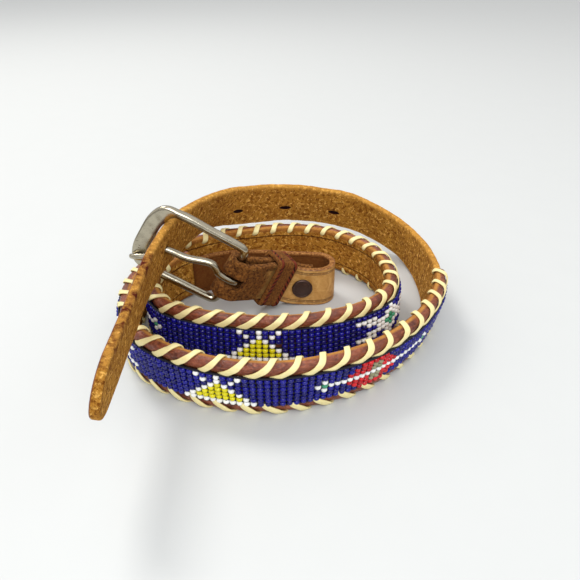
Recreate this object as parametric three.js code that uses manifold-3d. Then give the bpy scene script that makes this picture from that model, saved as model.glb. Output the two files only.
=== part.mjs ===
// A beaded leather belt lying in a coil of two turns, with its free end through its buckle.
// Millimetres, +Z up. The free end points along -Y, and the bottom edges stand on Z = 0.
import * as THREE from 'three';
import { mergeVertices } from 'three/addons/utils/BufferGeometryUtils.js';
import Module from 'manifold-3d';

// Leather, beads and lacing
const strapWidth = 20.5;
const strapThickness = 2.8;
const strapCorner = 0.7;
const fleshCorner = 1.1;
const panelThickness = 1.1;
const beadBandHeight = 13.4;
const beadThickness = 2.3;
const laceThickness = 0.7;
const seatGap = 0.3;

// Slit holes in the plain end: one round the prong, then a row of spare ones
const spareHoleCount = 3;
const spareHoleStart = 64.4;
const spareHoleDrop = 2.1;
const holePitch = 25.9;
const holeLength = 6;
const holeHeight = 2.2;
const tipRounding = 12;

// The coil in plan: two ovals, the clear ways between them at the left and at the right, and the free end
const outerWidth = 125;
const outerDepth = 156;
const innerDepth = 77;
const innerSetback = 11;
const turnGap = 1.4;
const rightGap = 12;
const tailLength = 91;
const crossingClearance = 0.5;

// The narrow buckle end, with its round turn and its fold round the heel bar
const billetWidth = 18;
const billetThickness = 2.6;
const billetCorner = 0.6;
const roundTurnRadius = 7.2;
const roundTurnX = 12.5;
const roundTurnY = -0.4;
const innerLegLength = 52;
const flapLength = 33;
const slotWidth = 5;

// Buckle, prong, keeper and snap
const frameLength = 36.6;
const frameOpening = 23.7;
const barDiameter = 3.6;
const rimWidth = 6.4;
const rimThickness = 2.8;
const frameTilt = 32;
const frameSetback = 22.5;
const strapAlongFrame = 0.698;
const heelBarZ = 23.2;
const prongDiameter = 3;
const prongClearance = 1.1;
const keeperShare = 0.52;
const keeperWidth = 10.5;
const keeperThickness = 1.6;
const keeperCorner = 1.5;
const snapShare = 0.18;
const snapDiameter = 9;
const snapHeight = 1.3;

// Greatest distance between cross-sections along the leather, their greatest turn, and sides of round bars
const sectionStep = 8.5;
const sectionTurn = 14;
const barSides = 10;

// Values that follow from the sizes above
const outerX = outerWidth / 2;
const outerY = outerDepth / 2;
const innerY = innerDepth / 2;
const panelFace = strapThickness / 2 + seatGap;
const beadFace = panelFace + panelThickness + seatGap;
const borderWidth = (strapWidth - beadBandHeight) / 2;
const laceReach = borderWidth - seatGap;
const laceInner = strapThickness / 2 + seatGap;
const turnPitch = laceInner + laceThickness + beadFace + beadThickness + turnGap;
const innerX = (outerWidth - 2 * turnPitch + turnGap - rightGap) / 2;
const innerCentreX = -outerX + turnPitch + innerX;
const heelBarX = strapAlongFrame * frameLength - 0.78 * outerX;
const strapRise = laceThickness + seatGap;
const stackHeight = strapWidth + strapRise + barDiameter + 2 * crossingClearance;
const laceOuterFoot = panelFace + panelThickness + seatGap;

const wasm = await Module();
wasm.setup();

// Each turn has a centre and half sizes; the tables give places as shares of them.
const turns = {
  tail: { x: 0, y: -frameSetback, halfX: outerX, halfY: tailLength },
  outer: { x: 0, y: 0, halfX: outerX, halfY: outerY },
  inner: { x: innerCentreX, y: -innerSetback, halfX: innerX, halfY: innerY },
};

// The strap's way from its tip, clockwise, to the end of its laced stretch.
// lift: how far the stretch is raised, as a share of the height of one turn lying on another.
// lean: how far the top edge stands out past the bottom edge, as a share of the strap's width.
const strapWay = [
  { turn: 'tail', x: -0.79, y: -1.0, lift: 1, lean: -0.22 },
  { turn: 'tail', x: -0.792, y: -0.75, lift: 1, lean: -0.22 },
  { turn: 'tail', x: -0.798, y: -0.5, lift: 1, lean: -0.22 },
  { turn: 'tail', x: -0.8, y: -0.25, lift: 1, lean: -0.22 },
  { turn: 'tail', x: -0.768, y: -0.02, lift: 1, lean: -0.22 },
  { turn: 'outer', x: -0.72, y: -0.154, lift: 1, lean: -0.22 },
  { turn: 'outer', x: -0.691, y: -0.074, lift: 0.982, lean: -0.26 },
  { turn: 'outer', x: -0.654, y: 0.031, lift: 0.955, lean: -0.31 },
  { turn: 'outer', x: -0.608, y: 0.137, lift: 0.92, lean: -0.36 },
  { turn: 'outer', x: -0.547, y: 0.239, lift: 0.885, lean: -0.38 },
  { turn: 'outer', x: -0.462, y: 0.349, lift: 0.8, lean: -0.33 },
  { turn: 'outer', x: -0.355, y: 0.443, lift: 0.69, lean: -0.21 },
  { turn: 'outer', x: -0.205, y: 0.514, lift: 0.635, lean: -0.19 },
  { turn: 'outer', x: -0.03, y: 0.558, lift: 0.605, lean: -0.22 },
  { turn: 'outer', x: 0.122, y: 0.583, lift: 0.555, lean: -0.23 },
  { turn: 'outer', x: 0.27, y: 0.599, lift: 0.49, lean: -0.24 },
  { turn: 'outer', x: 0.42, y: 0.606, lift: 0.415, lean: -0.22 },
  { turn: 'outer', x: 0.598, y: 0.588, lift: 0.285, lean: -0.22 },
  { turn: 'outer', x: 0.779, y: 0.506, lift: 0.14, lean: -0.19 },
  { turn: 'outer', x: 0.912, y: 0.386, lift: 0.02, lean: -0.09 },
  { turn: 'outer', x: 0.985, y: 0.12, lift: 0, lean: 0.05 },
  { turn: 'outer', x: 0.978, y: -0.18, lift: 0, lean: 0.17, laced: true },
  { turn: 'outer', x: 0.885, y: -0.4, lift: 0, lean: 0.24, laced: true },
  { turn: 'outer', x: 0.705, y: -0.62, lift: 0, lean: 0.25, laced: true },
  { turn: 'outer', x: 0.465, y: -0.797, lift: 0, lean: 0.22, laced: true },
  { turn: 'outer', x: 0.2, y: -0.903, lift: 0, lean: 0.18, laced: true },
  { turn: 'outer', x: -0.09, y: -0.953, lift: 0, lean: 0.15, laced: true },
  { turn: 'outer', x: -0.38, y: -0.923, lift: 0, lean: 0.12, laced: true },
  { turn: 'outer', x: -0.65, y: -0.835, lift: 0, lean: 0.09, laced: true },
  { turn: 'outer', x: -0.87, y: -0.68, lift: 0, lean: 0.06, laced: true },
  { turn: 'outer', x: -0.985, y: -0.46, lift: 0, lean: 0.02, laced: true },
  { turn: 'outer', x: -1.0, y: -0.24, lift: 0, lean: 0, laced: true },
  { turn: 'outer', x: -0.93, y: -0.04, lift: 0, lean: -0.03, laced: true },
  { turn: 'outer', x: -0.79, y: 0.115, lift: 0, lean: -0.06, laced: true },
  { turn: 'inner', x: -0.58, y: 0.8, lift: 0, lean: -0.1, laced: true },
  { turn: 'inner', x: -0.26, y: 0.93, lift: 0, lean: -0.13, laced: true },
  { turn: 'inner', x: 0.08, y: 1.01, lift: 0, lean: -0.15, laced: true },
  { turn: 'inner', x: 0.42, y: 0.955, lift: 0, lean: -0.15, laced: true },
  { turn: 'inner', x: 0.7, y: 0.74, lift: 0, lean: -0.14, laced: true },
  { turn: 'inner', x: 0.91, y: 0.41, lift: 0, lean: -0.1, laced: true },
  { turn: 'inner', x: 0.995, y: -0.04, lift: 0, lean: -0.05, laced: true },
  { turn: 'inner', x: 0.94, y: -0.44, lift: 0, lean: -0.05, laced: true },
  { turn: 'inner', x: 0.73, y: -0.74, lift: 0, lean: -0.08, laced: true },
  { turn: 'inner', x: 0.42, y: -0.925, lift: 0, lean: -0.1, laced: true },
  { turn: 'inner', x: 0.08, y: -1.01, lift: 0, lean: -0.1, laced: true },
  { turn: 'inner', x: -0.26, y: -0.985, lift: 0, lean: -0.08, laced: true },
  { turn: 'inner', x: -0.58, y: -0.885, lift: 0, lean: -0.05, laced: true },
  { turn: 'inner', x: -0.85, y: -0.71, lift: 0, lean: -0.02, laced: true },
  { turn: 'inner', x: -0.99, y: -0.42, lift: 0, lean: 0, laced: true },
  { turn: 'inner', x: -0.985, y: -0.09, lift: 0, lean: 0, laced: true },
  { turn: 'inner', x: -0.89, y: 0.15, lift: 0, lean: 0, laced: true },
  { turn: 'inner', x: -0.79, y: 0.285, lift: 0, lean: 0, laced: true },
];

// The lowest corner of a laced stretch stands on its level, and so does a plain stretch's lacing if it had any.
function strapPoint(row) {
  const turn = turns[row.turn];
  const x = turn.x + row.x * turn.halfX;
  const y = turn.y + row.y * turn.halfY;
  const upright = Math.sqrt(1 - row.lean * row.lean);
  const corner = row.lean > 0 ? laceOuterFoot : laceInner;
  const drop = row.laced ? strapRise * upright + corner * Math.abs(row.lean) : strapRise;
  const z = row.lift * stackHeight + drop + (strapWidth / 2) * upright;
  return new THREE.Vector3(x, y, z);
}

// A way through points, with a second curve of the same rows for what turns the cross-section.
function makeWay(points, turning) {
  const line = new THREE.CatmullRomCurve3(points, false, 'catmullrom', 0.5);
  line.arcLengthDivisions = 1200;
  const twist = new THREE.CatmullRomCurve3(turning, false, 'catmullrom', 0.5);
  return { line, twist, length: line.getLength() };
}

// Place, direction along, width direction and outward direction at a distance along a way.
// The twist holds the width direction's lean outwards in x, or a fixed direction in the plane of x and z in y.
function stationAt(way, distance) {
  const share = THREE.MathUtils.clamp(distance / way.length, 0, 1);
  const t = way.line.getUtoTmapping(share);
  const place = way.line.getPoint(t);
  const along = way.line.getTangent(t);
  const { x: lean, y: tilt } = way.twist.getPoint(t);
  const side = new THREE.Vector3(-along.y, along.x, 0).normalize();
  const wide = new THREE.Vector3(Math.sin(tilt), 0, Math.cos(tilt));
  wide.multiplyScalar(Math.cos(lean)).addScaledVector(side, Math.sin(lean));
  wide.addScaledVector(along, -wide.dot(along)).normalize();
  const out = new THREE.Vector3().crossVectors(wide, along);
  return { place, along, wide, out };
}

// Distances from start to end, at most one step apart.
function distances(start, end, step) {
  const count = Math.ceil((end - start) / step);
  return Array.from({ length: count + 1 }, (_, i) => start + ((end - start) * i) / count);
}

// Distances from a way's start to its end, closer together where it bends.
function bendingDistances(way) {
  const limit = THREE.MathUtils.degToRad(sectionTurn);
  const kept = [0];
  let last = stationAt(way, 0);
  for (const d of distances(0, way.length, 0.2)) {
    const here = stationAt(way, d);
    if (d - kept.at(-1) < sectionStep && here.along.angleTo(last.along) < limit) continue;
    kept.push(d);
    last = here;
  }
  if (way.length - kept.at(-1) < 1) kept.pop();
  return [...kept, way.length];
}

// A point of a cross-section: a is outwards and w is along the width from its middle.
function placeInSection(station, a, w) {
  return station.place.clone().addScaledVector(station.out, a).addScaledVector(station.wide, w);
}

// One closed body through rings of points, capped at both ends unless it closes on itself. Each four-sided
// patch is folded along its shorter diagonal, so that bodies that lie on one another fold alike.
function loft(rings, closed = false) {
  const sides = rings[0].length;
  const points = rings.flat();
  const positions = points.flatMap((p) => [p.x, p.y, p.z]);
  const indices = [];
  const bands = closed ? rings.length : rings.length - 1;
  for (let band = 0; band < bands; band += 1) {
    const here = band * sides;
    const next = ((band + 1) % rings.length) * sides;
    for (let side = 0; side < sides; side += 1) {
      const other = (side + 1) % sides;
      const [a, b, c, d] = [here + side, here + other, next + other, next + side];
      if (points[a].distanceTo(points[c]) < points[b].distanceTo(points[d])) indices.push(a, b, c, a, c, d);
      else indices.push(a, b, d, b, c, d);
    }
  }
  if (!closed) {
    const last = (rings.length - 1) * sides;
    for (const [a, b, c] of capTriangles(rings[0])) indices.push(a, c, b);
    for (const [a, b, c] of capTriangles(rings[0])) indices.push(last + a, last + b, last + c);
  }
  const geometry = new THREE.BufferGeometry();
  geometry.setAttribute('position', new THREE.Float32BufferAttribute(positions, 3));
  geometry.setIndex(indices);
  return facingOut(geometry);
}

// Triangles that close a flat ring, in the ring's own order.
function capTriangles(ring) {
  const middle = ring.reduce((sum, p) => sum.add(p), new THREE.Vector3()).divideScalar(ring.length);
  const first = new THREE.Vector3().subVectors(ring[0], middle).normalize();
  const normal = new THREE.Vector3();
  ring.forEach((p, i) => {
    const q = ring[(i + 1) % ring.length];
    normal.add(new THREE.Vector3().crossVectors(p.clone().sub(middle), q.clone().sub(middle)));
  });
  const second = new THREE.Vector3().crossVectors(normal.normalize(), first);
  const flat = ring.map((p) => {
    const d = p.clone().sub(middle);
    return new THREE.Vector2(d.dot(first), d.dot(second));
  });
  return THREE.ShapeUtils.triangulateShape(flat, []);
}

// Turns every triangle round when the body's volume comes out negative.
function facingOut(geometry) {
  const at = geometry.attributes.position;
  const order = geometry.index.array;
  const corner = (i) => new THREE.Vector3().fromBufferAttribute(at, order[i]);
  let volume = 0;
  for (let i = 0; i < order.length; i += 3) {
    volume += corner(i).dot(corner(i + 1).cross(corner(i + 2)));
  }
  if (volume > 0) return geometry;
  const turned = Array.from(order);
  for (let i = 0; i < turned.length; i += 3) {
    [turned[i + 1], turned[i + 2]] = [turned[i + 2], turned[i + 1]];
  }
  return geometry.setIndex(turned);
}

function toSolid(geometry) {
  const bare = geometry.clone();
  bare.deleteAttribute('normal');
  bare.deleteAttribute('uv');
  const merged = mergeVertices(bare, 1e-4);
  return new wasm.Manifold(
    new wasm.Mesh({
      numProp: 3,
      vertProperties: new Float32Array(merged.attributes.position.array),
      triVerts: new Uint32Array(merged.index.array),
    }),
  );
}

function toGeometry(solid) {
  const mesh = solid.getMesh();
  const geometry = new THREE.BufferGeometry();
  geometry.setAttribute('position', new THREE.Float32BufferAttribute(mesh.vertProperties, 3));
  geometry.setIndex(Array.from(mesh.triVerts));
  return geometry;
}

// Cuts a list of tools, each a geometry, out of a geometry.
function cutFrom(geometry, tools) {
  let solid = toSolid(geometry);
  for (const tool of tools) solid = solid.subtract(toSolid(tool));
  return toGeometry(solid);
}

// Cross-section of a strap: a flat bar with cut corners, wider cuts on its inner face.
function strapSection(thickness, width, outerCut, innerCut) {
  const t = thickness / 2;
  const w = width / 2;
  return [
    [t - outerCut, -w],
    [t, -w + outerCut],
    [t, w - outerCut],
    [t - outerCut, w],
    [-t + innerCut, w],
    [-t, w - innerCut],
    [-t, -w + innerCut],
    [-t + innerCut, -w],
  ];
}

// Cross-section of a sheet that lies outside the strap's middle line, from one face to the next.
function sheetSection(face, thickness, height, cut) {
  const h = height / 2;
  return [
    [face, -h],
    [face + thickness - cut, -h],
    [face + thickness, -h + cut],
    [face + thickness, h - cut],
    [face + thickness - cut, h],
    [face, h],
  ];
}

// Cross-section of the lacing over one edge: a channel, open towards the strap's middle.
function laceSection(edge) {
  const inner = -laceInner;
  const outer = laceOuterFoot;
  const bed = strapWidth / 2 + seatGap;
  const top = bed + laceThickness;
  const foot = strapWidth / 2 - laceReach;
  const cut = laceThickness;
  const half = [
    [inner, foot],
    [inner, bed],
    [outer, bed],
    [outer, foot],
    [outer + laceThickness, foot],
    [outer + laceThickness, top - cut],
    [outer + laceThickness - cut, top],
    [inner - laceThickness + cut, top],
    [inner - laceThickness, top - cut],
    [inner - laceThickness, foot],
  ];
  return half.map(([a, w]) => [a, edge * w]);
}

function ringOf(station, section) {
  return section.map(([a, w]) => placeInSection(station, a, w));
}

const strapLine = makeWay(
  strapWay.map(strapPoint),
  strapWay.map((row) => new THREE.Vector3(Math.asin(row.lean), 0, 0)),
);

// Distance along the strap at which the laced stretch starts, at its table row.
const lacedRow = strapWay.findIndex((row) => row.laced);
const lacedStart = lengthUpTo(strapLine, lacedRow / (strapWay.length - 1));
const lacedSteps = distances(lacedStart, strapLine.length - seatGap, sectionStep);

function lengthUpTo(way, t) {
  const parts = 600;
  let length = 0;
  let from = way.line.getPoint(0);
  for (let i = 1; i <= parts; i += 1) {
    const to = way.line.getPoint((t * i) / parts);
    length += from.distanceTo(to);
    from = to;
  }
  return length;
}

// First distance along a way, from a start on, at which its place passes a test.
function firstDistance(way, start, test) {
  return distances(start, way.length, 0.1).find((d) => test(stationAt(way, d).place));
}

// The buckle's own axes: u from the heel bar to the rim, v down along the bar, d towards the viewer.
const tiltAngle = THREE.MathUtils.degToRad(frameTilt);
const heel = new THREE.Vector3(heelBarX, -frameSetback, heelBarZ);
const frameU = new THREE.Vector3(-Math.cos(tiltAngle), 0, Math.sin(tiltAngle));
const frameV = new THREE.Vector3(-Math.sin(tiltAngle), 0, -Math.cos(tiltAngle));
const frameD = new THREE.Vector3(0, -1, 0);

function inFrame(u, v, d) {
  return heel.clone().addScaledVector(frameU, u).addScaledVector(frameV, v).addScaledVector(frameD, d);
}

// The prong lies in front of the frame's plane, on the rim.
const prongDepth = rimThickness / 2 + seatGap + prongDiameter / 2;
const prongHole = firstDistance(strapLine, 0, (place) => place.y >= -frameSetback - prongDepth);

// A slit through the strap, its ends round, at a distance along the way and below the strap's middle.
function slitTool(distance, length, height, drop = 0) {
  const half = height / 2;
  const run = (length - height) / 2;
  const shape = new THREE.Shape();
  shape.absarc(run, 0, half, -Math.PI / 2, Math.PI / 2, false);
  shape.absarc(-run, 0, half, Math.PI / 2, (3 * Math.PI) / 2, false);
  const depth = strapThickness * 2;
  const tool = new THREE.ExtrudeGeometry(shape, { depth, bevelEnabled: false, curveSegments: 3 });
  tool.translate(0, 0, -depth / 2);
  const { place, along, wide, out } = stationAt(strapLine, distance);
  const turned = new THREE.Matrix4().makeBasis(along, wide, out.clone());
  if (turned.determinant() < 0) turned.makeBasis(along, wide, out.clone().negate());
  tool.applyMatrix4(turned.setPosition(place.clone().addScaledVector(wide, -drop)));
  return tool;
}

function beltStrap() {
  const tipSteps = [0.02, 0.12, 0.32, 0.62];
  const tip = tipSteps.map((share) => share * tipRounding);
  const plain = distances(tipRounding, lacedStart, sectionStep).slice(0, -1);
  const rings = [...tip, ...plain, ...lacedSteps, strapLine.length].map((distance) => {
    const back = Math.max(0, 1 - distance / tipRounding);
    const width = strapWidth * Math.sqrt(1 - back * back);
    const cut = Math.min(strapCorner, width / 6);
    const innerCut = Math.min(fleshCorner, width / 6);
    return ringOf(stationAt(strapLine, distance), strapSection(strapThickness, width, cut, innerCut));
  });
  const prongHoleHeight = prongDiameter + 2 * prongClearance;
  const slits = [slitTool(prongHole, Math.max(holeLength, prongHoleHeight + 1), prongHoleHeight)];
  for (let i = 0; i < spareHoleCount; i += 1) {
    const distance = prongHole + spareHoleStart + i * holePitch;
    slits.push(slitTool(distance, holeLength, holeHeight, spareHoleDrop));
  }
  return cutFrom(loft(rings), slits);
}

function alongLacing(section) {
  return loft(lacedSteps.map((distance) => ringOf(stationAt(strapLine, distance), section)));
}

// The billet's way: inner leg, round turn, outer leg, fold round the heel bar, flap behind the outer leg.
const foldRadius = barDiameter / 2 + seatGap + billetThickness / 2;
const flapGap = billetThickness + seatGap;

function billetRows() {
  const seam = stationAt(strapLine, strapLine.length);
  const start = seam.place.clone().addScaledVector(seam.along, 3 * seatGap);
  const turnX = roundTurnX;
  const turnY = roundTurnY;
  const r = roundTurnRadius;
  const low = billetWidth / 2;
  const rows = [];
  const add = (x, y, z, tilt) => rows.push({ x, y, z, tilt });
  add(start.x, start.y, low, 0);
  for (const [share, bow] of [[0.86, 0.02], [0.66, 0.3], [0.44, 0.3], [0.22, 0.12]]) {
    add(turnX - share * innerLegLength, turnY + r * (1 + bow), low, 0);
  }
  for (const turned of [90, 55, 15, -25, -60, -90]) {
    const angle = THREE.MathUtils.degToRad(turned);
    add(turnX + r * Math.cos(angle), turnY + r * Math.sin(angle), low, 0);
  }
  const legY = turnY - r;
  const run = turnX - heel.x;
  for (const [share, drop, lift, tilt] of outerLeg) {
    const y = legY + drop * (heel.y - foldRadius - legY);
    add(turnX - share * run, y, low + lift * (heel.z - low), tilt * tiltAngle);
  }
  for (const turned of [-60, 0, 60]) {
    const angle = THREE.MathUtils.degToRad(turned);
    const at = inFrame(foldRadius * Math.cos(angle), 0, -foldRadius * Math.sin(angle));
    add(at.x, at.y, at.z, tiltAngle);
  }
  for (const [share, drop, lift, tilt] of outerLeg.slice().reverse()) {
    if ((1 - share) * run > flapLength) continue;
    const y = legY + drop * (heel.y + foldRadius - legY) + flapGap * (1 - drop);
    add(turnX - share * run, y, low + lift * (heel.z - low), tilt * tiltAngle);
  }
  return rows;
}

// Shares of the outer leg: run towards the heel bar, move towards the viewer, rise, and tilt of the width.
const outerLeg = [
  [0.08, 0, 0, 0],
  [0.25, 0.03, 0.06, 0.1],
  [0.45, 0.16, 0.3, 0.45],
  [0.6, 0.4, 0.52, 0.7],
  [0.73, 0.74, 0.73, 0.86],
  [0.88, 0.98, 0.9, 0.97],
  [1.0, 1.0, 1.0, 1.0],
];

const billetTable = billetRows();
const billetLine = makeWay(
  billetTable.map((row) => new THREE.Vector3(row.x, row.y, row.z)),
  billetTable.map((row) => new THREE.Vector3(0, row.tilt, 0)),
);

function buckleBillet() {
  const section = strapSection(billetThickness, billetWidth, billetCorner, billetCorner);
  const rings = bendingDistances(billetLine).map((d) => ringOf(stationAt(billetLine, d), section));
  const slot = new THREE.BoxGeometry(slotWidth * 3, slotWidth, slotWidth * 3);
  const turned = new THREE.Matrix4().makeBasis(frameU, frameV, new THREE.Vector3().crossVectors(frameU, frameV));
  slot.applyMatrix4(turned.setPosition(inFrame(slotWidth / 2, 0, 0)));
  return cutFrom(loft(rings), [slot]);
}

// Points of a cross-section round a place: an oval, or with squareness above 0 nearly a flat bar.
function barRing(place, first, a, second, b, squareness = 0) {
  const exponent = 1 - squareness / 2;
  const power = (value) => Math.sign(value) * Math.abs(value) ** exponent;
  return Array.from({ length: barSides }, (_, i) => {
    const turn = (2 * Math.PI * (i + 0.5)) / barSides;
    return place
      .clone()
      .addScaledVector(first, a * power(Math.cos(turn)))
      .addScaledVector(second, b * power(Math.sin(turn)));
  });
}

// Half of the frame's middle line: shares of its length and of half its height, from the heel bar to the rim.
const frameHalf = [
  [0, 0.35],
  [0, 0.72],
  [0.025, 0.94],
  [0.12, 1],
  [0.42, 1],
  [0.76, 1],
  [0.92, 0.87],
  [0.99, 0.5],
];

// The frame is one casting: a straight heel bar, two round arms, and a rounded rim that is wide and flat.
function buckleFrame() {
  const halfHeight = (frameOpening + barDiameter) / 2;
  const mirrored = frameHalf.slice().reverse().map(([u, v]) => [u, -v]);
  const corners = [...frameHalf, [1, 0], ...mirrored];
  const points = corners.map(([u, v]) => inFrame(u * frameLength, v * halfHeight, 0));
  const line = new THREE.CatmullRomCurve3(points, true, 'catmullrom', 0.5);
  const steps = 48;
  const rings = Array.from({ length: steps }, (_, i) => {
    const place = line.getPointAt(i / steps);
    const along = line.getTangentAt(i / steps);
    const across = new THREE.Vector3().crossVectors(along, frameD).normalize();
    const share = place.clone().sub(heel).dot(frameU) / frameLength;
    const rim = THREE.MathUtils.smoothstep(share, 0.81, 0.98);
    const half = THREE.MathUtils.lerp(barDiameter, rimWidth, rim) / 2;
    const deep = THREE.MathUtils.lerp(barDiameter, rimThickness, rim) / 2;
    return barRing(place, across, half, frameD, deep, rim);
  });
  return loft(rings, true);
}

// The prong's middle line after its loop round the heel bar. u is a share of the frame's length, v a share of
// half its opening and d a share of the prong's depth. The strap's hole lies between the third and fourth rows.
const prongBeforeHole = [
  { u: 0.14, v: -0.05, d: 1.15 },
  { u: 0.27, v: -0.25, d: 1.1 },
  { u: 0.52, v: 0, d: 1 },
];
const prongAfterHole = [
  { u: 0.885, v: 0.62, d: 1 },
  { u: 1, v: 0.86, d: 1 },
  { u: 1.05, v: 1, d: 0.5 },
];

function prong() {
  const loop = barDiameter / 2 + seatGap + prongDiameter / 2;
  const points = [-50, -90, -135, -180, -225, -265].map((turned) => {
    const angle = THREE.MathUtils.degToRad(turned);
    return inFrame(loop * Math.cos(angle), 0, loop * Math.sin(angle));
  });
  const placed = ({ u, v, d }) => inFrame(u * frameLength, (v * frameOpening) / 2, d * prongDepth);
  const hole = stationAt(strapLine, prongHole).place;
  points.push(...prongBeforeHole.map(placed), hole, ...prongAfterHole.map(placed));
  const line = new THREE.CatmullRomCurve3(points, false, 'catmullrom', 0.5);
  line.arcLengthDivisions = 600;
  const shares = Array.from({ length: 33 }, (_, i) => i / 32);
  const rings = shares.map((share) => {
    const along = line.getTangentAt(share);
    const across = frameV.clone().addScaledVector(along, -frameV.dot(along)).normalize();
    const other = new THREE.Vector3().crossVectors(along, across);
    const half = (prongDiameter / 2) * (1 - 0.4 * THREE.MathUtils.smoothstep(share, 0.88, 1.02));
    return barRing(line.getPointAt(share), across, half, other, half);
  });
  return loft(rings);
}

// Distance along the billet at a share of its outer leg's run.
function onOuterLeg(share) {
  const x = roundTurnX - share * (roundTurnX - heel.x);
  const turned = firstDistance(billetLine, 0, (place) => place.x >= roundTurnX) + roundTurnRadius;
  return firstDistance(billetLine, turned, (place) => place.y < roundTurnY && place.x <= x);
}

// A rectangle with round corners; the outline of a hole when its corner is small.
function roundedRectangle(left, right, bottom, top, corner) {
  const shape = new THREE.Shape();
  const quarter = Math.PI / 2;
  shape.absarc(right - corner, bottom + corner, corner, -quarter, 0, false);
  shape.absarc(right - corner, top - corner, corner, 0, quarter, false);
  shape.absarc(left + corner, top - corner, corner, quarter, 2 * quarter, false);
  shape.absarc(left + corner, bottom + corner, corner, 2 * quarter, 3 * quarter, false);
  return shape;
}

// The keeper is a leather loop round the outer leg and the flap behind it, and as wide inside as they need.
function keeper() {
  const at = onOuterLeg(keeperShare);
  const { place, along, wide, out } = stationAt(billetLine, at);
  const section = strapSection(billetThickness, billetWidth, billetCorner, billetCorner);
  const held = distances(at - keeperWidth, billetLine.length, 1)
    .flatMap((d) => ringOf(stationAt(billetLine, d), section))
    .map((p) => p.sub(place))
    .filter((p) => Math.abs(p.dot(along)) < keeperWidth / 2 + 1);
  const depths = held.map((p) => p.dot(out));
  const heights = held.map((p) => p.dot(wide));
  const sides = [Math.min(...depths), Math.max(...depths), Math.min(...heights), Math.max(...heights)];
  const [left, right, bottom, top] = sides.map((side, i) => side + (i % 2 ? seatGap : -seatGap));
  const wall = keeperThickness;
  const loop = roundedRectangle(left - wall, right + wall, bottom - wall, top + wall, keeperCorner);
  loop.holes.push(roundedRectangle(left, right, bottom, top, keeperCorner / 4));
  const body = new THREE.ExtrudeGeometry(loop, { depth: keeperWidth, bevelEnabled: false, curveSegments: 3 });
  body.translate(0, 0, -keeperWidth / 2);
  const third = new THREE.Vector3().crossVectors(out, wide);
  body.applyMatrix4(new THREE.Matrix4().makeBasis(out, wide, third).setPosition(place));
  return body;
}

// The snap's cap is a low dome with a rolled edge, on the outer face of the outer leg.
function snapCap() {
  const { place, along, wide, out } = stationAt(billetLine, onOuterLeg(snapShare));
  const radius = snapDiameter / 2;
  const profile = [
    [0, 0],
    [radius * 0.88, 0],
    [radius, snapHeight * 0.35],
    [radius * 0.95, snapHeight * 0.75],
    [radius * 0.8, snapHeight * 0.85],
    [radius * 0.45, snapHeight * 0.97],
    [0, snapHeight],
  ];
  const body = new THREE.LatheGeometry(profile.map(([x, y]) => new THREE.Vector2(x, y)), 24);
  const middle = place.clone().addScaledVector(out, billetThickness / 2 + 2.5 * seatGap);
  const third = new THREE.Vector3().crossVectors(along.clone().negate(), out);
  body.applyMatrix4(new THREE.Matrix4().makeBasis(along.clone().negate(), out, third).setPosition(middle));
  return body;
}

const finishes = {
  strapLeather: { color: 0xa8722e, roughness: 0.85, metalness: 0 },
  panelLeather: { color: 0x7a3a20, roughness: 0.4, metalness: 0 },
  glassBeads: { color: 0x14147c, roughness: 0.25, metalness: 0 },
  lace: { color: 0xefe2a0, roughness: 0.5, metalness: 0 },
  billetLeather: { color: 0xb98a50, roughness: 0.6, metalness: 0 },
  keeperLeather: { color: 0x6a3c20, roughness: 0.6, metalness: 0 },
  wornNickel: { color: 0xb9b5aa, roughness: 0.35, metalness: 1 },
  darkBrass: { color: 0x4a3a34, roughness: 0.45, metalness: 0.9 },
};

const parts = [
  ['belt_strap', beltStrap(), 'strapLeather'],
  ['front_panel', alongLacing(sheetSection(panelFace, panelThickness, strapWidth, panelThickness / 3)), 'panelLeather'],
  ['bead_band', alongLacing(sheetSection(beadFace, beadThickness, beadBandHeight, beadThickness / 3)), 'glassBeads'],
  ['top_lacing', alongLacing(laceSection(1)), 'lace'],
  ['bottom_lacing', alongLacing(laceSection(-1)), 'lace'],
  ['buckle_billet', buckleBillet(), 'billetLeather'],
  ['keeper', keeper(), 'keeperLeather'],
  ['snap_cap', snapCap(), 'darkBrass'],
  ['buckle_frame', buckleFrame(), 'wornNickel'],
  ['prong', prong(), 'wornNickel'],
];

const group = new THREE.Group();
group.name = 'beaded_belt';
for (const [name, geometry, finish] of parts) {
  geometry.computeVertexNormals();
  const mesh = new THREE.Mesh(geometry, new THREE.MeshStandardMaterial(finishes[finish]));
  mesh.name = name;
  group.add(mesh);
}

// The origin is the middle of the underside of the box round the whole belt.
const box = new THREE.Box3().setFromObject(group);
const middle = box.getCenter(new THREE.Vector3());
for (const mesh of group.children) mesh.geometry.translate(-middle.x, -middle.y, -box.min.z);

export default group;
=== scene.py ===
"""Looks for a coiled beaded belt: the camera, then the leather, beads, lacing, buckle, floor and light."""

import math

import bpy
import numpy as np
from mathutils import Matrix


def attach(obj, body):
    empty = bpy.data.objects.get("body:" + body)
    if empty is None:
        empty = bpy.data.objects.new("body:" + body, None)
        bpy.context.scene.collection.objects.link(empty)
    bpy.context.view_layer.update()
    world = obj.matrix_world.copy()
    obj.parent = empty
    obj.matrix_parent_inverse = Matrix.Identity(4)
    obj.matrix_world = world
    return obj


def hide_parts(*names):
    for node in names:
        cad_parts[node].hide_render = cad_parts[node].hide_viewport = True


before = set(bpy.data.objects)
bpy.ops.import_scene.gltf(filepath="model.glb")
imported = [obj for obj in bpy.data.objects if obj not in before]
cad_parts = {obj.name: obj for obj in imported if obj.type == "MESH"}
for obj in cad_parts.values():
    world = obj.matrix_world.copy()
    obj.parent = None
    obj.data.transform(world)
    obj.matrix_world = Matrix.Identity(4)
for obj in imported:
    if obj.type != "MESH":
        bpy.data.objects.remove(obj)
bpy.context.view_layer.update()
rng = np.random.default_rng(7)
MM = 0.001

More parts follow.
